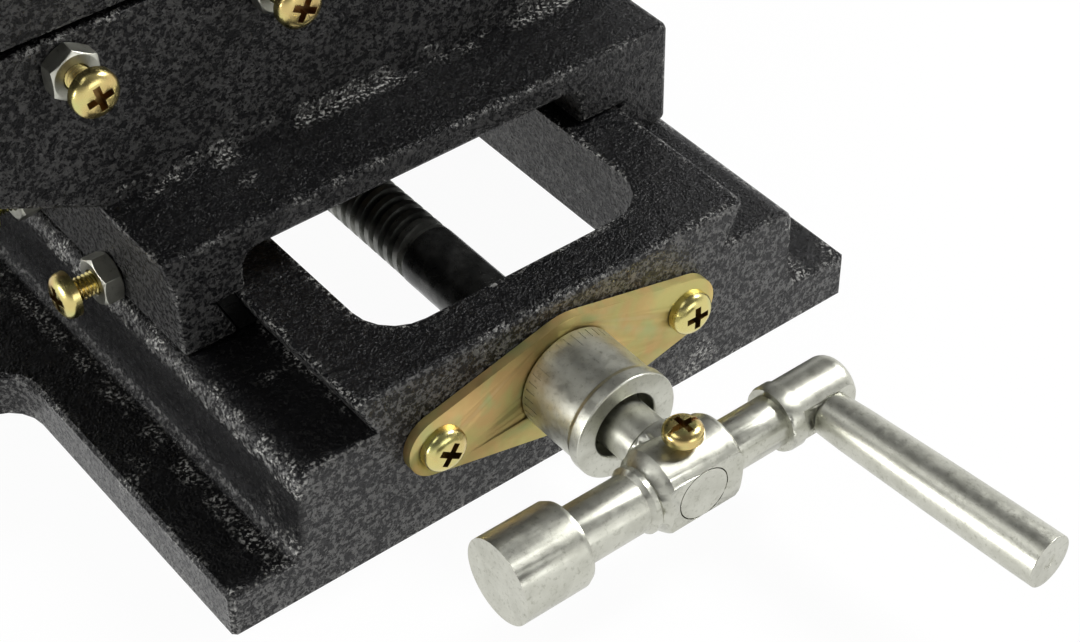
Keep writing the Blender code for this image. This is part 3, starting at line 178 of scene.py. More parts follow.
def begin_edit(mode="FACE"):
    bpy.ops.object.mode_set(mode="EDIT")
    bpy.ops.mesh.select_mode(type=mode)
    bpy.ops.mesh.select_all(action="SELECT")


def end_edit():
    bpy.ops.object.mode_set(mode="OBJECT")


def clean_up():
    """Merge doubled points and turn the faces outwards, in edit mode."""
    bpy.ops.mesh.select_all(action="SELECT")
    bpy.ops.mesh.remove_doubles(threshold=MERGE_DISTANCE)
    bpy.ops.mesh.normals_make_consistent(inside=False)


def turned(profile, sides=ROUND_SIDES, closed=False):
    """Turn a profile of (radius, height) about Z: a disc extruded and scaled from step to step."""
    deselect()
    radius, height = profile[0]
    bpy.ops.mesh.primitive_circle_add(vertices=sides, radius=radius, fill_type="NGON", location=(0, 0, height))
    thing = bpy.context.object
    bpy.ops.object.transform_apply(location=True, rotation=False, scale=False)
    begin_edit()
    for next_radius, next_height in profile[1:]:
        bpy.ops.mesh.extrude_region_move(TRANSFORM_OT_translate={"value": (0, 0, next_height - height)})
        share = next_radius / radius
        bpy.ops.transform.resize(value=(share, share, 1), center_override=(0, 0, next_height))
        radius, height = next_radius, next_height
    if closed:
        bpy.ops.mesh.select_all(action="DESELECT")
        end_edit()
        for face in thing.data.polygons:
            face.select = len(face.vertices) == sides
        bpy.ops.object.mode_set(mode="EDIT")
        bpy.ops.mesh.delete(type="FACE")
    clean_up()
    end_edit()
    return thing


def box_between(low, high):
    deselect()
    middle = [(a + b) / 2 for a, b in zip(low, high)]
    bpy.ops.mesh.primitive_cube_add(size=1, location=middle)
    thing = bpy.context.object
    thing.scale = [b - a for a, b in zip(low, high)]
    bpy.ops.object.transform_apply(location=True, rotation=True, scale=True)
    return thing


def apply_modifier(thing, kind, **settings):
    pick(thing)
    modifier = thing.modifiers.new(kind.lower(), kind)
    for name, value in settings.items():
        setattr(modifier, name, value)
    bpy.ops.object.modifier_apply(modifier=modifier.name)
    return thing


def carve(thing, cutter, operation="DIFFERENCE"):
    apply_modifier(thing, "BOOLEAN", object=cutter, operation=operation, solver="EXACT")
    bpy.data.objects.remove(cutter, do_unlink=True)
    return thing


def ease_edges(thing, width=SMALL_EDGE, segments=3, angle=35):
    """Round the sharp edges a little and shade the rest smooth."""
    apply_modifier(
        thing, "BEVEL", width=width, segments=segments, limit_method="ANGLE",
        angle_limit=math.radians(angle), use_clamp_overlap=True, harden_normals=False,
    )
    smooth(thing)
    return apply_modifier(thing, "WEIGHTED_NORMAL", keep_sharp=True, weight=100)


def smooth(thing, angle=32):
    pick(thing)
    if thing.data.has_custom_normals:
        bpy.ops.mesh.customdata_custom_splitnormals_clear()
    bpy.ops.object.shade_smooth_by_angle(angle=math.radians(angle))
    return thing


def place(thing, matrix):
    """Put a piece modelled at the origin in its place, which ends up in its mesh."""
    pick(thing)
    thing.matrix_world = matrix
    bpy.ops.object.transform_apply(location=True, rotation=True, scale=True)
    return thing


def copy_of(thing):
    twin = thing.copy()
    twin.data = thing.data.copy()
    bpy.context.scene.collection.objects.link(twin)
    return twin


def discard(thing):
    bpy.data.objects.remove(thing, do_unlink=True)


def join(things):
    deselect()
    for thing in things:
        thing.select_set(True)
    bpy.context.view_layer.objects.active = things[0]
    bpy.ops.object.join()
    return things[0]


def axis_frame(point, heading):
    """A frame whose Z points out of the vise along a screw, heading in degrees about the upright."""
    turn = Matrix.Rotation(math.radians(heading), 4, "Z")
    return Matrix.Translation(point) @ turn @ Matrix.Rotation(math.radians(90), 4, "X")


def middle_of(node):
    low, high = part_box(node)
    return (Vector(low) + Vector(high)) / 2


def body_of(node):
    for body, nodes in frame["record"]["behaviour"]["bodies"].items():
        if node in nodes:
            return body


def stand_in(piece, node, material):
    """A finer piece takes a node's place, body, name and finish."""
    piece.name = node + "_fine"
    piece.data.name = piece.name
    if material:
        piece.data.materials.clear()
        piece.data.materials.append(material)
    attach(piece, body_of(node))
    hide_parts(node)
    return piece


# Tools for materials

class Finish:
    """A material under construction, with short calls to add and join its nodes."""

    def __init__(self, name):
        self.material = bpy.data.materials.new(name)
        self.material.use_nodes = True
        self.tree = self.material.node_tree
        self.shader = self.tree.nodes["Principled BSDF"]
        self.place = self.add("ShaderNodeTexCoord").outputs["Object"]

    def add(self, kind, **settings):
        node = self.tree.nodes.new(kind)
        for name, value in settings.items():
            setattr(node, name, value)
        return node

    def wire(self, source, target):
        self.tree.links.new(source, target)

    def set(self, **values):
        for name, value in values.items():
            self.shader.inputs[name.replace("_", " ")].default_value = value

    def noise(self, scale, detail=2.0, roughness=0.5, distortion=0.0, place=None):
        node = self.add("ShaderNodeTexNoise")
        node.inputs["Scale"].default_value = scale
        node.inputs["Detail"].default_value = detail
        node.inputs["Roughness"].default_value = roughness
        node.inputs["Distortion"].default_value = distortion
        self.wire(place or self.place, node.inputs["Vector"])
        return node

    def levels(self, source, low, high, to_low=0.0, to_high=1.0):
        node = self.add("ShaderNodeMapRange")
        for name, value in (("From Min", low), ("From Max", high), ("To Min", to_low), ("To Max", to_high)):
            node.inputs[name].default_value = value
        self.wire(source, node.inputs["Value"])
        return node.outputs["Result"]

    def maths(self, operation, first, second):
        node = self.add("ShaderNodeMath", operation=operation)
        for socket, value in zip(node.inputs, (first, second)):
            if isinstance(value, (int, float)):
                socket.default_value = value
            else:
                self.wire(value, socket)
        return node.outputs["Value"]

    def blend(self, factor, first, second):
        node = self.add("ShaderNodeMix", data_type="RGBA")
        self.wire(factor, node.inputs["Factor"])
        for socket, value in ((node.inputs["A"], first), (node.inputs["B"], second)):
            if isinstance(value, tuple):
                socket.default_value = (*value, 1)
            else:
                self.wire(value, socket)
        return node.outputs["Result"]

    def part_of(self, source, axis):
        split = self.add("ShaderNodeSeparateXYZ")
        self.wire(source, split.inputs["Vector"])
        return split.outputs[axis]

    def facing(self, axis):
        """How far the surface faces along an axis, one where it faces it squarely."""
        return self.part_of(self.add("ShaderNodeNewGeometry").outputs["Normal"], axis)

    def band(self, axis, middle, reach, low, high):
        """One within reach of a distance along an axis, either way from zero, between two heights."""
        out = self.maths("ABSOLUTE", self.part_of(self.place, axis), 0.0)
        away = self.maths("ABSOLUTE", self.maths("SUBTRACT", out, middle), 0.0)
        beside = self.levels(away, reach, reach * 0.3)
        height = self.part_of(self.place, "Z")
        above = self.levels(height, low, low + reach * 0.1)
        below = self.levels(height, high, high - reach * 0.1)
        return self.maths("MULTIPLY", beside, self.maths("MULTIPLY", above, below))

    def edges(self, radius, low, high):
        """One near corners and edges of the piece, zero on its flats."""
        rounded = self.add("ShaderNodeBevel", samples=6)
        rounded.inputs["Radius"].default_value = radius
        plain = self.add("ShaderNodeNewGeometry")
        match = self.add("ShaderNodeVectorMath", operation="DOT_PRODUCT")
        self.wire(rounded.outputs["Normal"], match.inputs[0])
        self.wire(plain.outputs["Normal"], match.inputs[1])
        return self.levels(match.outputs["Value"], high, low)

    def bump(self, height, distance, strength=1.0, below=None):
        node = self.add("ShaderNodeBump")
        node.inputs["Strength"].default_value = strength
        node.inputs["Distance"].default_value = distance
        self.wire(height, node.inputs["Height"])
        if below:
            self.wire(below, node.inputs["Normal"])
        return node.outputs["Normal"]

    def shade(self, **sockets):
        for name, source in sockets.items():
            self.wire(source, self.shader.inputs[name.replace("_", " ")])
        return self.material


def hammertone_paint(name, lit_flakes, rubbed_and_glint_bands=(), painted_shade_bands=()):
    """Black hammered enamel: black pools in a broken silver web, with painted shade on upward faces and in the bands
    given, and worn specks along edges that also stand for painted highlights.
    """
    paint = Finish(name)
    paint.set(IOR=1.3)
    drift = paint.noise(700.0, 3.0, 0.6)
    shift = paint.add("ShaderNodeVectorMath", operation="MULTIPLY_ADD")
    paint.wire(drift.outputs["Color"], shift.inputs[0])
    shift.inputs[1].default_value = (0.0026, 0.0026, 0.0026)
    paint.wire(paint.place, shift.inputs[2])
    cells = paint.add("ShaderNodeTexVoronoi", feature="DISTANCE_TO_EDGE")
    cells.inputs["Scale"].default_value = 820.0
    paint.wire(shift.outputs["Vector"], cells.inputs["Vector"])
    # Painted shade: faces turned upwards, and the bands given, get fewer silver lines and darker flakes, as if less
    # light fell on them
    painted_shade = paint.levels(paint.facing("Z"), 0.45, 0.95)
    for band in painted_shade_bands:
        painted_shade = paint.maths("MAXIMUM", painted_shade, paint.band(*band))
    web = paint.levels(cells.outputs["Distance"], 0.12, 0.34, 1.0, 0.0)
    grade = paint.maths("SUBTRACT", paint.noise(820.0, 4.0, 0.65).outputs["Fac"], paint.maths("MULTIPLY", painted_shade, 0.085))
    lines = paint.maths("MULTIPLY", web, paint.levels(grade, 0.465, 0.565))
    # Worn paint, also painted highlights: pale specks near edges, in the bands given and in random clusters stand
    # partly for glints of light
    worn_and_glint = paint.edges(0.0034, 0.92, 0.996)
    for band in rubbed_and_glint_bands:
        worn_and_glint = paint.maths("MAXIMUM", worn_and_glint, paint.band(*band))
    specks = paint.levels(paint.noise(1000.0, 4.0, 0.7).outputs["Fac"], 0.535, 0.585)
    regions = paint.levels(paint.noise(110.0, 3.0, 0.65).outputs["Fac"], 0.44, 0.57)
    blemish = paint.levels(paint.noise(34.0, 3.0, 0.6).outputs["Fac"], 0.64, 0.72)
    worn_and_glint = paint.maths("MAXIMUM", paint.maths("MULTIPLY", worn_and_glint, regions), blemish)
    # rubbed holds worn specks that double as painted highlights
    rubbed = paint.maths("MULTIPLY", worn_and_glint, specks)
    # Painted shade: the flakes go from the lit colour towards near black where the painted shade is
    flakes = paint.blend(painted_shade, lit_flakes, (0.031, 0.031, 0.030))
    color = paint.blend(lines, (0.003, 0.003, 0.0035), flakes)
    # Pale grey specks: worn paint that also serves as painted highlights
    color = paint.blend(rubbed, color, (0.46, 0.455, 0.43))
    silver = paint.levels(lines, 0.0, 1.0, 0.0, 0.80)
    rough = paint.levels(lines, 0.0, 1.0, 0.24, 0.42)
    casting = paint.bump(paint.noise(260.0, 3.0).outputs["Fac"], 0.00090, 0.6)
    dimples = paint.bump(cells.outputs["Distance"], 0.00040, 1.0, casting)
    grain = paint.bump(paint.noise(1500.0, 2.0).outputs["Fac"], 0.00014, 0.8, dimples)
    return paint.shade(Base_Color=color, Metallic=silver, Roughness=rough, Normal=grain)


def zinc_plate():
    """Dull bright zinc on turned and forged steel: cool grey, finely mottled, with faint blotches."""
    zinc = Finish("zinc_plate")
    zinc.set(Metallic=1.0)
    stains = zinc.levels(zinc.noise(120.0, 4.0, 0.6, 0.4).outputs["Fac"], 0.40, 0.66)
    color = zinc.blend(stains, (0.58, 0.58, 0.51), (0.48, 0.48, 0.415))
    mottle = zinc.levels(zinc.noise(900.0, 4.0, 0.7).outputs["Fac"], 0.54, 0.74)
    color = zinc.blend(mottle, color, (0.34, 0.34, 0.28))
    rough = zinc.levels(zinc.noise(420.0, 4.0, 0.6).outputs["Fac"], 0.3, 0.7, 0.31, 0.44)
    waves = zinc.bump(zinc.noise(160.0, 3.0).outputs["Fac"], 0.00010, 0.4)
    grain = zinc.bump(zinc.noise(1500.0, 4.0, 0.7).outputs["Fac"], 0.00004, 0.6, waves)
    return zinc.shade(Base_Color=color, Roughness=rough, Normal=grain)


def yellow_zinc(name, gold, rose, green, low_rough, high_rough):
    """Yellow passivated zinc, gold with rose and green tints that drift over it."""
    plating = Finish(name)
    plating.set(Metallic=1.0)
    drift = plating.levels(plating.noise(75.0, 3.0, 0.5, 0.8).outputs["Fac"], 0.38, 0.64)
    color = plating.blend(drift, gold, rose)
    other = plating.levels(plating.noise(130.0, 2.0, 0.5, 0.4).outputs["Fac"], 0.52, 0.72)
    color = plating.blend(other, color, green)
    rough = plating.levels(plating.noise(320.0, 3.0).outputs["Fac"], 0.3, 0.7, low_rough, high_rough)
    grain = plating.bump(plating.noise(700.0, 3.0).outputs["Fac"], 0.00008, 0.5)
    return plating.shade(Base_Color=color, Roughness=rough, Normal=grain)


def black_oxide(name, dark, pale, low_rough, high_rough):
    """Blackened steel with an oily satin and rubbed patches."""
    steel = Finish(name)
    steel.set(Metallic=0.85)
    rubbed = steel.levels(steel.noise(140.0, 4.0, 0.6).outputs["Fac"], 0.45, 0.72)
    color = steel.blend(rubbed, dark, pale)
    rough = steel.levels(steel.noise(420.0, 3.0).outputs["Fac"], 0.3, 0.7, low_rough, high_rough)
    grain = steel.bump(steel.noise(1200.0, 3.0).outputs["Fac"], 0.00005, 0.5)
    return steel.shade(Base_Color=color, Roughness=rough, Normal=grain)


def ground_steel():
    """Surface ground steel with fine lines along its length and a thin film of oil."""
    steel = Finish("ground_steel")
    steel.set(Metallic=1.0)
    stretch = steel.add("ShaderNodeMapping")
    stretch.inputs["Scale"].default_value = (60.0, 60.0, 2600.0)
    steel.wire(steel.place, stretch.inputs["Vector"])
    lines = steel.noise(1.0, 4.0, 0.6, 0.0, stretch.outputs["Vector"])
    tone = steel.levels(lines.outputs["Fac"], 0.3, 0.7)
    color = steel.blend(tone, (0.56, 0.56, 0.55), (0.68, 0.68, 0.66))
    rough = steel.levels(steel.noise(200.0, 3.0).outputs["Fac"], 0.3, 0.7, 0.24, 0.40)
    grain = steel.bump(lines.outputs["Fac"], 0.00005, 0.5)
    return steel.shade(Base_Color=color, Roughness=rough, Normal=grain)


def bronze():
    """Cast bronze, turned, dull with a little tarnish."""
    metal = Finish("bronze")
    metal.set(Metallic=1.0)
    tarnish = metal.levels(metal.noise(160.0, 4.0, 0.6).outputs["Fac"], 0.42, 0.66)
    color = metal.blend(tarnish, (0.62, 0.42, 0.18), (0.36, 0.23, 0.11))
    rough = metal.levels(metal.noise(380.0, 3.0).outputs["Fac"], 0.3, 0.7, 0.32, 0.50)
    grain = metal.bump(metal.noise(1100.0, 3.0).outputs["Fac"], 0.00006, 0.5)
    return metal.shade(Base_Color=color, Roughness=rough, Normal=grain)


# Painted light: the base takes brighter flakes and the other castings dimmer ones, lit and shaded copies of the one
# enamel
BRIGHT_LIT_FLAKES = (0.142, 0.141, 0.137)
DIM_LIT_FLAKES = (0.080, 0.079, 0.077)
PAINT = hammertone_paint("hammertone_paint", DIM_LIT_FLAKES)
BASE_PAINT = hammertone_paint("hammertone_paint_base", BRIGHT_LIT_FLAKES, (COVE_FOOT_BAND, SHELF_EDGE_BAND), (COVE_WALL_SHADE_BAND,))
SADDLE_PAINT = hammertone_paint("hammertone_paint_saddle", DIM_LIT_FLAKES, (LEDGE_CORNER_BAND,))
CASTING_PAINTS = {"base_casting": BASE_PAINT, "saddle_casting": SADDLE_PAINT}
ZINC = zinc_plate()
PLATE_GOLD = yellow_zinc(
    "yellow_zinc_plate", (0.47, 0.42, 0.165), (0.54, 0.37, 0.16), (0.42, 0.42, 0.18), 0.46, 0.58
)
SCREW_GOLD = yellow_zinc(
    "yellow_zinc_screws", (0.66, 0.58, 0.23), (0.62, 0.46, 0.19), (0.58, 0.57, 0.23), 0.20, 0.32
)
# Painted shade: a darker gold for the walls of the cross recesses and slots
RECESS_SHADE_GOLD = yellow_zinc(
    "yellow_zinc_recess_shade", (0.34, 0.23, 0.075), (0.28, 0.16, 0.07), (0.26, 0.21, 0.07), 0.28, 0.42
)
BLACK_STEEL = black_oxide("black_oxide", (0.045, 0.046, 0.044), (0.120, 0.120, 0.115), 0.22, 0.36)
# Rubbed crests, also painted light: the thread's ridges are paler than its roots, standing for light on the ridges and
# shade in the grooves
RUBBED_AND_LIT_STEEL = black_oxide("rubbed_and_lit_thread_crests", (0.13, 0.135, 0.122), (0.30, 0.30, 0.275), 0.26, 0.40)
GROUND_STEEL = ground_steel()
BRONZE = bronze()
SLOT_FINISHES = {
    "hammertone": PAINT,
    "zinc": ZINC,
    "yellow_zinc": SCREW_GOLD,
    "black_steel": BLACK_STEEL,
    "bright_steel": GROUND_STEEL,
    "bronze": BRONZE,
}


def finish_cad_nodes():
    """Every node keeps its solid and takes the finish of its slot."""
    for entry in frame["record"]["subparts"]:
        node = frame["nodes"][entry["node"]]
        node.data.materials.clear()
        node.data.materials.append(SLOT_FINISHES[entry["material_slot"]])


# Castings

def fine_casting(node):
    """A copy of a casting with its loose triangles merged, its flat faces joined and its shading smoothed by angle with
    weighted normals.
    """
    piece = copy_of(frame["nodes"][node])
    piece.parent = None
    pick(piece)
    begin_edit("VERT")
    bpy.ops.mesh.remove_doubles(threshold=MERGE_DISTANCE * 10)
    bpy.ops.mesh.dissolve_limited(angle_limit=math.radians(1))
    end_edit()
    smooth(piece, 40)
    apply_modifier(piece, "WEIGHTED_NORMAL", keep_sharp=True, weight=100)
    return stand_in(piece, node, CASTING_PAINTS.get(node, PAINT))


# Threads

def threaded_rod(crest, root, pitch, low, high, steps, crest_share, root_share):
    """A helical thread along Z: one tooth's profile, extruded point by point and screwed upwards."""
    flank = (1 - crest_share - root_share) / 2 * pitch
    deselect()
    bpy.ops.mesh.primitive_plane_add(size=root, location=(root, 0, low))
    rod = bpy.context.object
    bpy.ops.object.transform_apply(location=True, rotation=True, scale=True)
    begin_edit("VERT")
    bpy.ops.mesh.merge(type="CENTER")
    for out, up in ((crest - root, flank), (0, crest_share * pitch), (root - crest, flank), (0, root_share * pitch)):
        bpy.ops.mesh.extrude_vertices_move(TRANSFORM_OT_translate={"value": (out, 0, up)})
    end_edit()
    turns = max(1, round((high - low) / pitch) - 1)
    apply_modifier(
        rod, "SCREW", axis="Z", angle=math.tau, screw_offset=pitch, iterations=turns,
        steps=steps, render_steps=steps, use_merge_vertices=False, use_smooth_shade=False,
    )
    begin_edit("EDGE")
    bpy.ops.mesh.remove_doubles(threshold=MERGE_DISTANCE * 5)
    bpy.ops.mesh.select_all(action="DESELECT")
    bpy.ops.mesh.select_non_manifold()
    bpy.ops.mesh.fill_holes(sides=0)
    clean_up()
    end_edit()
    return rod


def give_finishes(piece, finishes, choose):
    """Give each face the finish that its number from choose(face) names."""
    piece.data.materials.clear()
    for finish in finishes:
        piece.data.materials.append(finish)
    for face in piece.data.polygons:
        face.material_index = choose(face)
    return piece


# Faces off the thread's roots take the paler finish, so the roots stay dark as painted shade
def off_root(face):
    radius = Vector(face.center[:2]).length
    return int(radius > (THREAD_CREST + THREAD_ROOT) / 2 * 0.99)


def fine_lead_screw(name, matrix, profile, low, high, plated_from):
    """The turned part of a screw joined to its thread, zinc plated where it stands outside."""
    body = ease_edges(turned(profile), SMALL_EDGE, 2)
    give_finishes(body, (BLACK_STEEL, RUBBED_AND_LIT_STEEL, ZINC), lambda face: 2 * int(face.center.z > plated_from))
    thread = threaded_rod(THREAD_CREST, THREAD_ROOT, THREAD_PITCH, low, high, 40, THREAD_CREST_SHARE, THREAD_ROOT_SHARE)
    smooth(thread, 25)
    give_finishes(thread, (BLACK_STEEL, RUBBED_AND_LIT_STEEL), off_root)
    screw = join([body, thread])
    place(screw, matrix)
    return stand_in(screw, name, None)


def feed_screw_profile(tail_end):
    core = THREAD_ROOT * 0.98
    thrust_foot = -SEAT_GAP - THRUST_THICK
    return [
        (TAIL_RADIUS, -tail_end),
        (TAIL_RADIUS, -tail_end + TAIL_LENGTH),
        (core, -tail_end + TAIL_LENGTH + (core - TAIL_RADIUS)),
        (core, -PLAIN_LENGTH),
        (JOURNAL_RADIUS, -PLAIN_LENGTH),
        (JOURNAL_RADIUS, thrust_foot),
        (THRUST_RADIUS, thrust_foot),
        (THRUST_RADIUS, -SEAT_GAP),
        (JOURNAL_RADIUS, -SEAT_GAP),
        (JOURNAL_RADIUS, SPINDLE_STEP_REACH - JOURNAL_RADIUS + SPINDLE_RADIUS),
        (SPINDLE_RADIUS, SPINDLE_STEP_REACH),
        (SPINDLE_RADIUS, HUB_FACE_REACH),
    ]


# Crank

ALONG_BAR = Matrix.Rotation(math.radians(90), 4, "Y")


def crank_arm():
    """The crank's bar with counterweight, flattened hub and flattened boss, along X with the screw along Z."""
    ring_end = -HUB_LEFT + HUB_RING_WIDTH
    boss_body = BOSS_RADIUS * 0.94
    profile = [
        (COUNTERWEIGHT_RADIUS, -COUNTERWEIGHT_END),
        (COUNTERWEIGHT_RADIUS, -COUNTERWEIGHT_START - COUNTERWEIGHT_RADIUS * 0.14),
        (COUNTERWEIGHT_RADIUS * 0.93, -COUNTERWEIGHT_START),
        (BAR_RADIUS, -COUNTERWEIGHT_START),
        (BAR_RADIUS, -HUB_LEFT),
        (HUB_RING_RADIUS, -HUB_LEFT + HUB_RING_WIDTH * 0.35),
        (HUB_RING_RADIUS, ring_end - HUB_RING_WIDTH * 0.25),
        (HUB_RING_RADIUS * 0.93, ring_end),
        (HUB_RADIUS * 0.90, ring_end + HUB_RING_WIDTH * 0.5),
        (HUB_RADIUS, ring_end + HUB_RING_WIDTH * 0.9),
        (HUB_RADIUS, HUB_RIGHT - SMALL_EDGE * 3),
        (HUB_RADIUS * 0.95, HUB_RIGHT - SMALL_EDGE),
        (HUB_RADIUS * 0.88, HUB_RIGHT),
        (NECK_RADIUS, HUB_RIGHT + SMALL_EDGE * 2),
        (NECK_RADIUS, BOSS_START),
        (BOSS_RADIUS * 0.96, BOSS_START),
        (BOSS_RADIUS, BOSS_START + SMALL_EDGE * 2),
        (BOSS_RADIUS, BOSS_START + BOSS_RADIUS * 0.46),
        (boss_body, BOSS_START + BOSS_RADIUS * 0.58),
    ]
    steps = 6
    for i in range(steps):
        angle = math.radians(72 * i / (steps - 1))
        across = boss_body * (0.58 + 0.42 * math.cos(angle))
        profile.append((across, BOSS_END - boss_body * 0.42 * (1 - math.sin(angle) / math.sin(math.radians(72)))))
    arm = place(turned(profile), ALONG_BAR)
    spans = (
        (ring_end + HUB_RING_WIDTH * 0.5, HUB_RIGHT + SMALL_EDGE, BAR_AXIS_DEPTH, HUB_RADIUS),
        (BOSS_START + BOSS_RADIUS * 0.5, BOSS_END + SMALL_EDGE, BOSS_FLAT_DEPTH, BOSS_RADIUS),
    )
    for start, end, flat, radius in spans:
        wide = radius * 1.5
        carve(arm, box_between((start, -wide, flat), (end, wide, wide)))
        carve(arm, box_between((start, -wide, -wide), (end, wide, -flat)))
    boss_top = -BAR_AXIS_DEPTH - HUB_BOSS_HEIGHT
    boss = turned([
        (HUB_BOSS_RADIUS, 0),
        (HUB_BOSS_RADIUS, boss_top + SMALL_EDGE * 2),
        (HUB_BOSS_RADIUS - SMALL_EDGE * 2, boss_top),
    ])
    carve(arm, boss, "UNION")
    bore = SPINDLE_RADIUS + SEAT_GAP
    carve(arm, turned([(bore, -HUB_RADIUS * 1.5), (bore, HUB_RADIUS * 1.5)]))
    socket = turned([(GRIP_NECK_RADIUS + SEAT_GAP, -BOSS_RADIUS * 1.5), (GRIP_NECK_RADIUS + SEAT_GAP, BOSS_RADIUS * 1.5)])
    carve(arm, place(socket, grip_frame()))
    return ease_edges(arm, SMALL_EDGE * 1.3, 3, 32)


def grip_frame():
    return Matrix.Translation((GRIP_OFFSET, 0, 0)) @ Matrix.Rotation(math.radians(GRIP_LEAN), 4, "Y")


def crank_grip():
    lift = GRIP_ROOT_RADIUS * math.tan(math.radians(GRIP_LEAN))
    root = BOSS_FLAT_DEPTH + SEAT_GAP + lift
    end = root + GRIP_LENGTH
    rim = GRIP_END_RADIUS * 0.9
    profile = [
        (GRIP_NECK_RADIUS, -BOSS_FLAT_DEPTH),
        (GRIP_NECK_RADIUS, root),
        (GRIP_ROOT_RADIUS, root),
        (GRIP_ROOT_RADIUS * 1.06, root + GRIP_LENGTH * 0.12),
        (GRIP_MIDDLE_RADIUS, (root + end) / 2),
        (GRIP_END_RADIUS, end - GRIP_END_RADIUS),
        (GRIP_END_RADIUS, end),
        (rim * 0.32, end),
        (rim * 0.30, end - SMALL_EDGE * 0.6),
    ]
    return ease_edges(turned(profile), SMALL_EDGE * 1.6, 3, 40)


# Screws and nuts

def cross_recess(span, width, depth):
    """The cutter of a cross recess: two tapered blades that meet at the middle, pointing down from zero."""
    blades = []
    for turn in (0, 90):
        deselect()
        bpy.ops.mesh.primitive_cube_add(size=1, location=(0, 0, 0))
        blade = bpy.context.object
        blade.scale = (span, width, depth * 2)
        bpy.ops.object.transform_apply(location=True, rotation=True, scale=True)
        for end, shares in ((-1, (0.55, 0.70, 1)), (1, (1.30, 1.20, 1))):
            for face in blade.data.polygons:
                face.select = face.normal.z * end > 0.9
            bpy.ops.object.mode_set(mode="EDIT")
            bpy.ops.mesh.select_mode(type="FACE")
            bpy.ops.transform.resize(value=shares, center_override=(0, 0, end * depth))
            end_edit()
        # The blades carry the darker gold of painted shade, which the boolean hands to the recess walls
        blade.data.materials.append(RECESS_SHADE_GOLD)
        blades.append(place(blade, Matrix.Rotation(math.radians(turn), 4, "Z")))
    return carve(blades[0], blades[1], "UNION")


def pan_head(head_radius, head_height, shank_radius, length, slotted=False, sides=48):
    """A pan head screw along Z with a cross recess, its head's underside at zero."""
    dome = [(shank_radius, -length), (shank_radius, 0), (head_radius, 0)]
    wall = head_height * 0.36
    steps = 7
    for i in range(steps):
        angle = math.radians(90 * i / steps)
        reach = head_radius * (0.42 + 0.58 * math.cos(angle))
        dome.append((reach, wall + (head_height - wall) * math.sin(angle)))
    dome.append((head_radius * 0.2, head_height))
    screw = turned(dome, sides)
    screw.data.materials.append(SCREW_GOLD)
    recess = cross_recess(head_radius * 1.55, head_radius * 0.36, head_height * 0.58)
    place(recess, Matrix.Translation((0, 0, head_height * 0.94)))
    if slotted:
        half = head_radius * 0.09
        slot = box_between((-head_radius * 1.2, -half, -head_height * 0.30), (head_radius * 1.2, half, head_height))
        # The slot carries the same painted shade
        slot.data.materials.append(RECESS_SHADE_GOLD)
        carve(recess, place(slot, Matrix.Translation((0, 0, head_height))), "UNION")
    apply_modifier(screw, "BOOLEAN", object=recess, operation="DIFFERENCE", solver="EXACT", material_mode="TRANSFER")
    discard(recess)
    return ease_edges(screw, SMALL_EDGE * 0.35, 2, 38)


def adjusting_screw(length, exposed):
    """A gib screw: pan head, a short plain neck and a thread down to the casting."""
    screw = pan_head(M6_HEAD_RADIUS, M6_HEAD_HEIGHT, M6_ROOT * 0.99, length)
    thread = threaded_rod(M6_RADIUS * 0.985, M6_ROOT, M6_PITCH, -exposed, 0, 24, 0.16, 0.12)
    smooth(thread, 25)
    thread.data.materials.append(SCREW_GOLD)
    return join([screw, thread])


def hex_nut():
    """A chamfered nut along Z from zero to its height."""
    deselect()
    corner = NUT_FLATS / math.sqrt(3)
    bpy.ops.mesh.primitive_circle_add(vertices=6, radius=corner, fill_type="NGON", location=(0, 0, 0))
    nut = bpy.context.object
    begin_edit()
    bpy.ops.mesh.extrude_region_move(TRANSFORM_OT_translate={"value": (0, 0, NUT_THICK)})
    clean_up()
    end_edit()
    flat = NUT_FLATS / 2
    chamfer = NUT_THICK * 0.14
    wide = corner * 1.02
    limits = [
        (flat * 0.96, -SMALL_EDGE * 0.01),
        (wide, chamfer),
        (wide, NUT_THICK - chamfer),
        (flat * 0.96, NUT_THICK + SMALL_EDGE * 0.01),
    ]
    carve(nut, turned(limits), "INTERSECT")
    hole = [
        (M6_RADIUS * 1.22, -NUT_THICK * 0.2),
        (M6_RADIUS * 1.06, NUT_THICK * 0.09),
        (M6_RADIUS * 1.06, NUT_THICK * 0.91),
        (M6_RADIUS * 1.22, NUT_THICK * 1.2),
    ]
    carve(nut, turned(hole, 48))
    return ease_edges(nut, SMALL_EDGE * 0.3, 2, 30)


def socket_screw(length):
    """A countersunk screw along Z, its flat head's face at zero, with a six sided socket."""
    cone = CSK_HEAD_RADIUS - CSK_RADIUS
    lip = SMALL_EDGE * 0.6
    profile = [(CSK_RADIUS, -length), (CSK_RADIUS, -cone - lip), (CSK_HEAD_RADIUS, -lip), (CSK_HEAD_RADIUS, 0)]
    screw = turned(profile, 48)
    socket = turned([(CSK_SOCKET_RADIUS, -CSK_SOCKET_DEPTH), (CSK_SOCKET_RADIUS, CSK_SOCKET_DEPTH)], 6)
    carve(screw, socket)
    return ease_edges(screw, SMALL_EDGE * 0.3, 2, 35)


def hang_copies(model, places, material):
    """Copy one modelled fastener to each of its nodes, then drop the model."""
    for node, matrix in places:
        piece = place(copy_of(model), matrix)
        stand_in(piece, node, material)
    discard(model)


# Bearing plates and collars

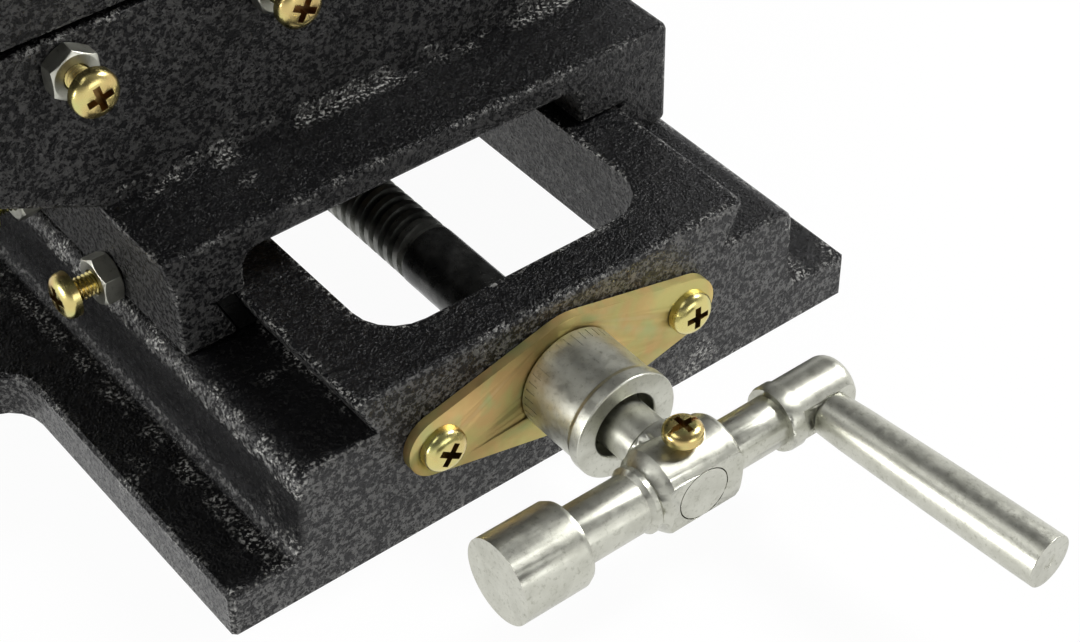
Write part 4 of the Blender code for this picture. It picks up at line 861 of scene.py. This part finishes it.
def bearing_plate():
    """A lens shaped plate with a bore and two screw holes, and a soft edge all round."""
    reach = PLATE_SCREW_SPACING / 2
    low = SEAT_GAP
    high = SEAT_GAP + PLATE_THICK
    middle = turned([(PLATE_MIDDLE_RADIUS, low), (PLATE_MIDDLE_RADIUS, high)], 128)
    lean = math.asin((PLATE_MIDDLE_RADIUS - PLATE_END_RADIUS) / reach)
    for side in (-1, 1):
        end = turned([(PLATE_END_RADIUS, low), (PLATE_END_RADIUS, high)])
        place(end, Matrix.Translation((side * reach, 0, 0)))
        web = box_between((-reach, -PLATE_MIDDLE_RADIUS, low), (0, PLATE_MIDDLE_RADIUS, high))
        shrink = PLATE_END_RADIUS / PLATE_MIDDLE_RADIUS
        for corner in web.data.vertices:
            at_end = corner.co.x < -reach / 2
            radius = PLATE_END_RADIUS if at_end else PLATE_MIDDLE_RADIUS
            shift = radius * math.sin(lean)
            base = -reach if at_end else 0.0
            corner.co.x = side * -1 * (base - shift)
            corner.co.y = math.copysign(radius * math.cos(lean), corner.co.y)
        pick(web)
        begin_edit()
        clean_up()
        end_edit()
        carve(middle, end, "UNION")
        carve(middle, web, "UNION")
    bore = COLLAR_BORE_RADIUS
    carve(middle, turned([(bore, low - PLATE_THICK), (bore, high + PLATE_THICK)]))
    for side in (-1, 1):
        hole = turned([(M6_RADIUS * 1.1, low - PLATE_THICK), (M6_RADIUS * 1.1, high + PLATE_THICK)], SMALL_SIDES)
        carve(middle, place(hole, Matrix.Translation((side * reach, 0, 0))))
    pick(middle)
    begin_edit()
    bpy.ops.mesh.dissolve_limited(angle_limit=math.radians(0.5))
    end_edit()
    return ease_edges(middle, SMALL_EDGE * 1.2, 3, 50)


def collar():
    """A plated collar with a rim at its crank end and engraved marks at the other."""
    low = 2 * SEAT_GAP + PLATE_THICK
    rim = COLLAR_REACH - COLLAR_RIM_WIDTH
    step = COLLAR_RIM_RADIUS - COLLAR_RADIUS
    inside = (low + COLLAR_REACH) / 2
    profile = [
        (COLLAR_BORE_RADIUS, inside),
        (COLLAR_BORE_RADIUS, low),
        (COLLAR_RADIUS, low),
        (COLLAR_RADIUS, rim - step),
        (COLLAR_RIM_RADIUS, rim),
        (COLLAR_RIM_RADIUS, COLLAR_REACH),
        (COLLAR_BORE_RADIUS * 1.08, COLLAR_REACH),
        (COLLAR_BORE_RADIUS, COLLAR_REACH - COLLAR_BORE_RADIUS * 0.08),
        (COLLAR_BORE_RADIUS, inside),
    ]
    ring = ease_edges(turned(profile, 96, closed=True), SMALL_EDGE * 1.4, 3, 40)
    marks = []
    for number in range(COLLAR_MARKS):
        length = LONG_MARK_LENGTH if number % 5 == 0 else MARK_LENGTH
        start = low + SMALL_EDGE * 2
        half = MARK_WIDTH / 2
        mark = box_between((-half, COLLAR_RADIUS - MARK_DEPTH, start), (half, COLLAR_RADIUS * 1.1, start + length))
        marks.append(place(mark, Matrix.Rotation(math.tau * number / COLLAR_MARKS, 4, "Z")))
    smooth(carve(ring, join(marks)))
    return apply_modifier(ring, "WEIGHTED_NORMAL", keep_sharp=True, weight=100)


# The whole vise

def hinge_point(name):
    for joint in frame["joints"]:
        if joint["name"] == name:
            return joint["pos_m"]


FRAMES = {
    "cross": axis_frame(hinge_point("cross_screw_turn"), 0),
    "long": axis_frame(hinge_point("long_screw_turn"), -90),
    "jaw": axis_frame(hinge_point("jaw_screw_turn"), 90),
}


def crank_place(which):
    """The crank's frame: Z out along the screw, X along the bar to the grip, zero on the bar's axis."""
    if which == "jaw":
        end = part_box("jaw_screw")[1][0] - hinge_point("jaw_screw_turn")[0] - BAR_AXIS_DEPTH
    else:
        end = HUB_FACE_REACH - BAR_AXIS_DEPTH
    turn = Matrix.Rotation(math.radians(CRANK_ANGLES[which]), 4, "Z")
    return FRAMES[which] @ Matrix.Translation((0, 0, end)) @ turn


def dress_cranks():
    places = {which: crank_place(which) for which in FRAMES}
    hang_copies(crank_arm(), [(w + "_crank_arm", m) for w, m in places.items()], ZINC)
    hang_copies(crank_grip(), [(w + "_crank_grip", m @ grip_frame()) for w, m in places.items()], ZINC)
    seat = HUB_SEAT + SET_SCREW_OUT
    upright = Matrix.Rotation(math.radians(-90), 4, "X") @ Matrix.Translation((0, 0, seat))
    screw = pan_head(M5_HEAD_RADIUS, M5_HEAD_HEIGHT, M5_RADIUS, seat - SPINDLE_RADIUS - SEAT_GAP, slotted=True)
    hang_copies(screw, [(w + "_crank_screw", m @ upright) for w, m in places.items()], None)


def dress_feed_screws():
    seat = 2 * SEAT_GAP + PLATE_THICK
    for which in ("cross", "long"):
        matrix = FRAMES[which]
        node = which + "_lead_screw"
        low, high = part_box(node)
        total = max(high[i] - low[i] for i in range(3))
        tail_end = total - HUB_FACE_REACH
        foot = -tail_end + TAIL_LENGTH
        profile = feed_screw_profile(tail_end)
        fine_lead_screw(node, matrix, profile, foot, -PLAIN_LENGTH + THREAD_PITCH, PLATE_THICK)
    pair = [(which, FRAMES[which]) for which in ("cross", "long")]
    hang_copies(bearing_plate(), [(w + "_bearing_plate", m) for w, m in pair], PLATE_GOLD)
    hang_copies(collar(), [(w + "_collar", m) for w, m in pair], ZINC)
    places = []
    for which, matrix in pair:
        for number, side in enumerate((-1, 1), 1):
            turn = Matrix.Rotation(math.radians(20 + 35 * number), 4, "Z")
            spot = matrix @ Matrix.Translation((side * PLATE_SCREW_SPACING / 2, 0, seat)) @ turn
            places.append((which + "_plate_screw_" + str(number), spot))
    hang_copies(pan_head(M6_HEAD_RADIUS, M6_HEAD_HEIGHT, M6_RADIUS, 0.0094), places, None)


def gib_nodes(prefix, kind):
    return sorted(name for name in frame["nodes"] if name.startswith(prefix + "_gib_" + kind))


def dress_gib_screws():
    for prefix, heading in (("cross", -90), ("long", 0)):
        axis = 0 if prefix == "cross" else 1
        screws = gib_nodes(prefix, "screw")
        low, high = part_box(screws[0])
        length = high[axis] - low[axis] - M6_HEAD_HEIGHT
        nut_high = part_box(gib_nodes(prefix, "nut")[0])[1][axis]
        exposed = nut_high - low[axis] - M6_HEAD_HEIGHT + M6_PITCH
        places = []
        for number, node in enumerate(screws):
            point = middle_of(node)
            point[axis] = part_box(node)[0][axis] + M6_HEAD_HEIGHT
            turn = Matrix.Rotation(math.radians(12 + 50 * number), 4, "Z")
            places.append((node, axis_frame(point, heading) @ turn))
        hang_copies(adjusting_screw(length, exposed), places, None)
        places = []
        for number, node in enumerate(gib_nodes(prefix, "nut")):
            point = middle_of(node)
            point[axis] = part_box(node)[1][axis]
            turn = Matrix.Rotation(math.radians(17 * number), 4, "Z")
            places.append((node, axis_frame(point, heading) @ turn))
        hang_copies(hex_nut(), places, ZINC)


def dress_jaw_plate_screws():
    places = []
    for jaw, corner, heading in (("fixed", 1, 90), ("moving", 0, -90)):
        for number in (1, 2):
            node = jaw + "_jaw_plate_screw_" + str(number)
            point = middle_of(node)
            point.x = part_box(node)[corner][0]
            turn = Matrix.Rotation(math.radians(24 * number), 4, "Z")
            places.append((node, axis_frame(point, heading) @ turn))
    low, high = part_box(places[0][0])
    hang_copies(socket_screw(high[0] - low[0]), places, BLACK_STEEL)


def dress_jaw_screw():
    matrix = FRAMES["jaw"]
    low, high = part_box("jaw_screw")
    origin = hinge_point("jaw_screw_turn")[0]
    face = high[0] - origin
    end = low[0] - origin
    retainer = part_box("jaw_screw_retainer")
    neck_in = retainer[0][0] - origin
    neck_out = retainer[1][0] - origin + SEAT_GAP
    neck = M6_RADIUS * 1.7
    shoulder = face - BAR_AXIS_DEPTH - HUB_SEAT - SEAT_GAP
    core = THREAD_ROOT * 0.98
    profile = [
        (THREAD_CREST, end),
        (THREAD_CREST, neck_in - SEAT_GAP * 2),
        (neck, neck_in - SEAT_GAP * 2),
        (neck, neck_out),
        (THREAD_CREST, neck_out),
        (THREAD_CREST, neck_out + THREAD_CREST / 2),
        (core, neck_out + THREAD_CREST / 2),
        (core, shoulder - THREAD_CREST),
        (THREAD_CREST, shoulder - THREAD_CREST),
        (THREAD_CREST, shoulder),
        (SPINDLE_RADIUS, shoulder),
        (SPINDLE_RADIUS, face),
    ]
    fine_lead_screw("jaw_screw", matrix, profile, neck_out + THREAD_PITCH / 2, shoulder - THREAD_PITCH, shoulder)


# Studio

def studio_material(name, color, camera_share):
    """A pale surface that is lit as it is, and seen partly as plain white by the camera and in gloss."""
    material = bpy.data.materials.new(name)
    material.use_nodes = True
    tree = material.node_tree
    surface = tree.nodes["Principled BSDF"]
    surface.inputs["Base Color"].default_value = (*color, 1)
    surface.inputs["Roughness"].default_value = 0.9
    glow = tree.nodes.new("ShaderNodeEmission")
    glow.inputs["Color"].default_value = (1, 1, 1, 1)
    mix = tree.nodes.new("ShaderNodeMixShader")
    share = tree.nodes.new("ShaderNodeMath")
    share.operation = "MULTIPLY"
    share.inputs[1].default_value = camera_share
    tree.links.new(seen_directly(tree), share.inputs[0])
    tree.links.new(share.outputs["Value"], mix.inputs["Fac"])
    tree.links.new(surface.outputs["BSDF"], mix.inputs[1])
    tree.links.new(glow.outputs["Emission"], mix.inputs[2])
    tree.links.new(mix.outputs["Shader"], tree.nodes["Material Output"].inputs["Surface"])
    return material


def seen_directly(tree):
    """One where the ray comes from the camera, a gloss or a glass, zero where it carries diffuse light."""
    path = tree.nodes.new("ShaderNodeLightPath")
    total = path.outputs["Is Camera Ray"]
    for name in ("Is Glossy Ray", "Is Transmission Ray"):
        either = tree.nodes.new("ShaderNodeMath")
        either.operation = "MAXIMUM"
        tree.links.new(total, either.inputs[0])
        tree.links.new(path.outputs[name], either.inputs[1])
        total = either.outputs["Value"]
    return total


def make_floor():
    deselect()
    bpy.ops.mesh.primitive_plane_add(size=6, location=(0, 0, cad_box[0][2] - 0.0002))
    floor = bpy.context.object
    floor.name = "studio_floor"
    floor.data.materials.append(studio_material("studio_white", (0.92, 0.92, 0.92), 0.96))


def make_world():
    """White low down, as the sweep and table, and darker overhead, with plain light for the rest."""
    world = bpy.data.worlds.new("studio")
    bpy.context.scene.world = world
    world.use_nodes = True
    tree = world.node_tree
    plain = tree.nodes["Background"]
    plain.inputs["Color"].default_value = (1, 1, 1, 1)
    plain.inputs["Strength"].default_value = 0.24
    seen = tree.nodes.new("ShaderNodeBackground")
    seen.inputs["Color"].default_value = (1, 1, 1, 1)
    spot = tree.nodes.new("ShaderNodeTexCoord")
    split = tree.nodes.new("ShaderNodeSeparateXYZ")
    tree.links.new(spot.outputs["Generated"], split.inputs["Vector"])
    height = tree.nodes.new("ShaderNodeMapRange")
    for name, value in (("From Min", 0.02), ("From Max", 0.55), ("To Min", 1.0), ("To Max", 0.12)):
        height.inputs[name].default_value = value
    tree.links.new(split.outputs["Z"], height.inputs["Value"])
    tree.links.new(height.outputs["Result"], seen.inputs["Strength"])
    mix = tree.nodes.new("ShaderNodeMixShader")
    tree.links.new(seen_directly(tree), mix.inputs["Fac"])
    tree.links.new(plain.outputs["Background"], mix.inputs[1])
    tree.links.new(seen.outputs["Background"], mix.inputs[2])
    tree.links.new(mix.outputs["Shader"], tree.nodes["World Output"].inputs["Surface"])


def softbox(name, direction, distance, size, power, aim):
    deselect()
    spot = Vector(aim) + Vector(direction).normalized() * distance
    bpy.ops.object.light_add(type="AREA", location=spot)
    light = bpy.context.object
    light.name = name
    light.data.shape = "RECTANGLE"
    light.data.size, light.data.size_y = size
    light.data.energy = power
    light.rotation_euler = (Vector(aim) - spot).to_track_quat("-Z", "Y").to_euler()


def make_lights():
    aim = (0.0, 0.03, 0.03)
    softbox("right", (0.72, -0.16, 0.68), 1.1, (0.26, 0.26), 11.0, aim)
    softbox("overhead", (-0.50, 0.15, 0.85), 1.2, (0.6, 0.5), 2.0, aim)
    softbox("left", (-0.90, 0.20, 0.14), 1.2, (0.5, 0.3), 8.0, aim)
    softbox("front", (0.15, -0.90, 0.30), 1.4, (0.8, 0.5), 3.0, aim)


def make_camera():
    data = bpy.data.cameras.new("camera")
    data.sensor_width = SENSOR_WIDTH
    data.lens = CAMERA_LENS
    data.clip_start = 0.01
    camera = bpy.data.objects.new("camera", data)
    bpy.context.scene.collection.objects.link(camera)
    heading = Matrix.Rotation(math.radians(-CAMERA_HEADING), 4, "Z")
    tilt = Matrix.Rotation(math.radians(90 - CAMERA_TILT), 4, "X")
    roll = Matrix.Rotation(math.radians(-CAMERA_ROLL), 4, "Z")
    camera.matrix_world = Matrix.Translation(CAMERA_PLACE) @ heading @ tilt @ roll
    bpy.context.scene.camera = camera


finish_cad_nodes()
for casting in ("base_casting", "saddle_casting", "vise_body_casting", "moving_jaw_casting"):
    fine_casting(casting)
dress_feed_screws()
dress_jaw_screw()
dress_cranks()
dress_gib_screws()
dress_jaw_plate_screws()
make_floor()
make_world()
make_lights()
make_camera()
bpy.context.scene.view_settings.view_transform = "Standard"
deselect()
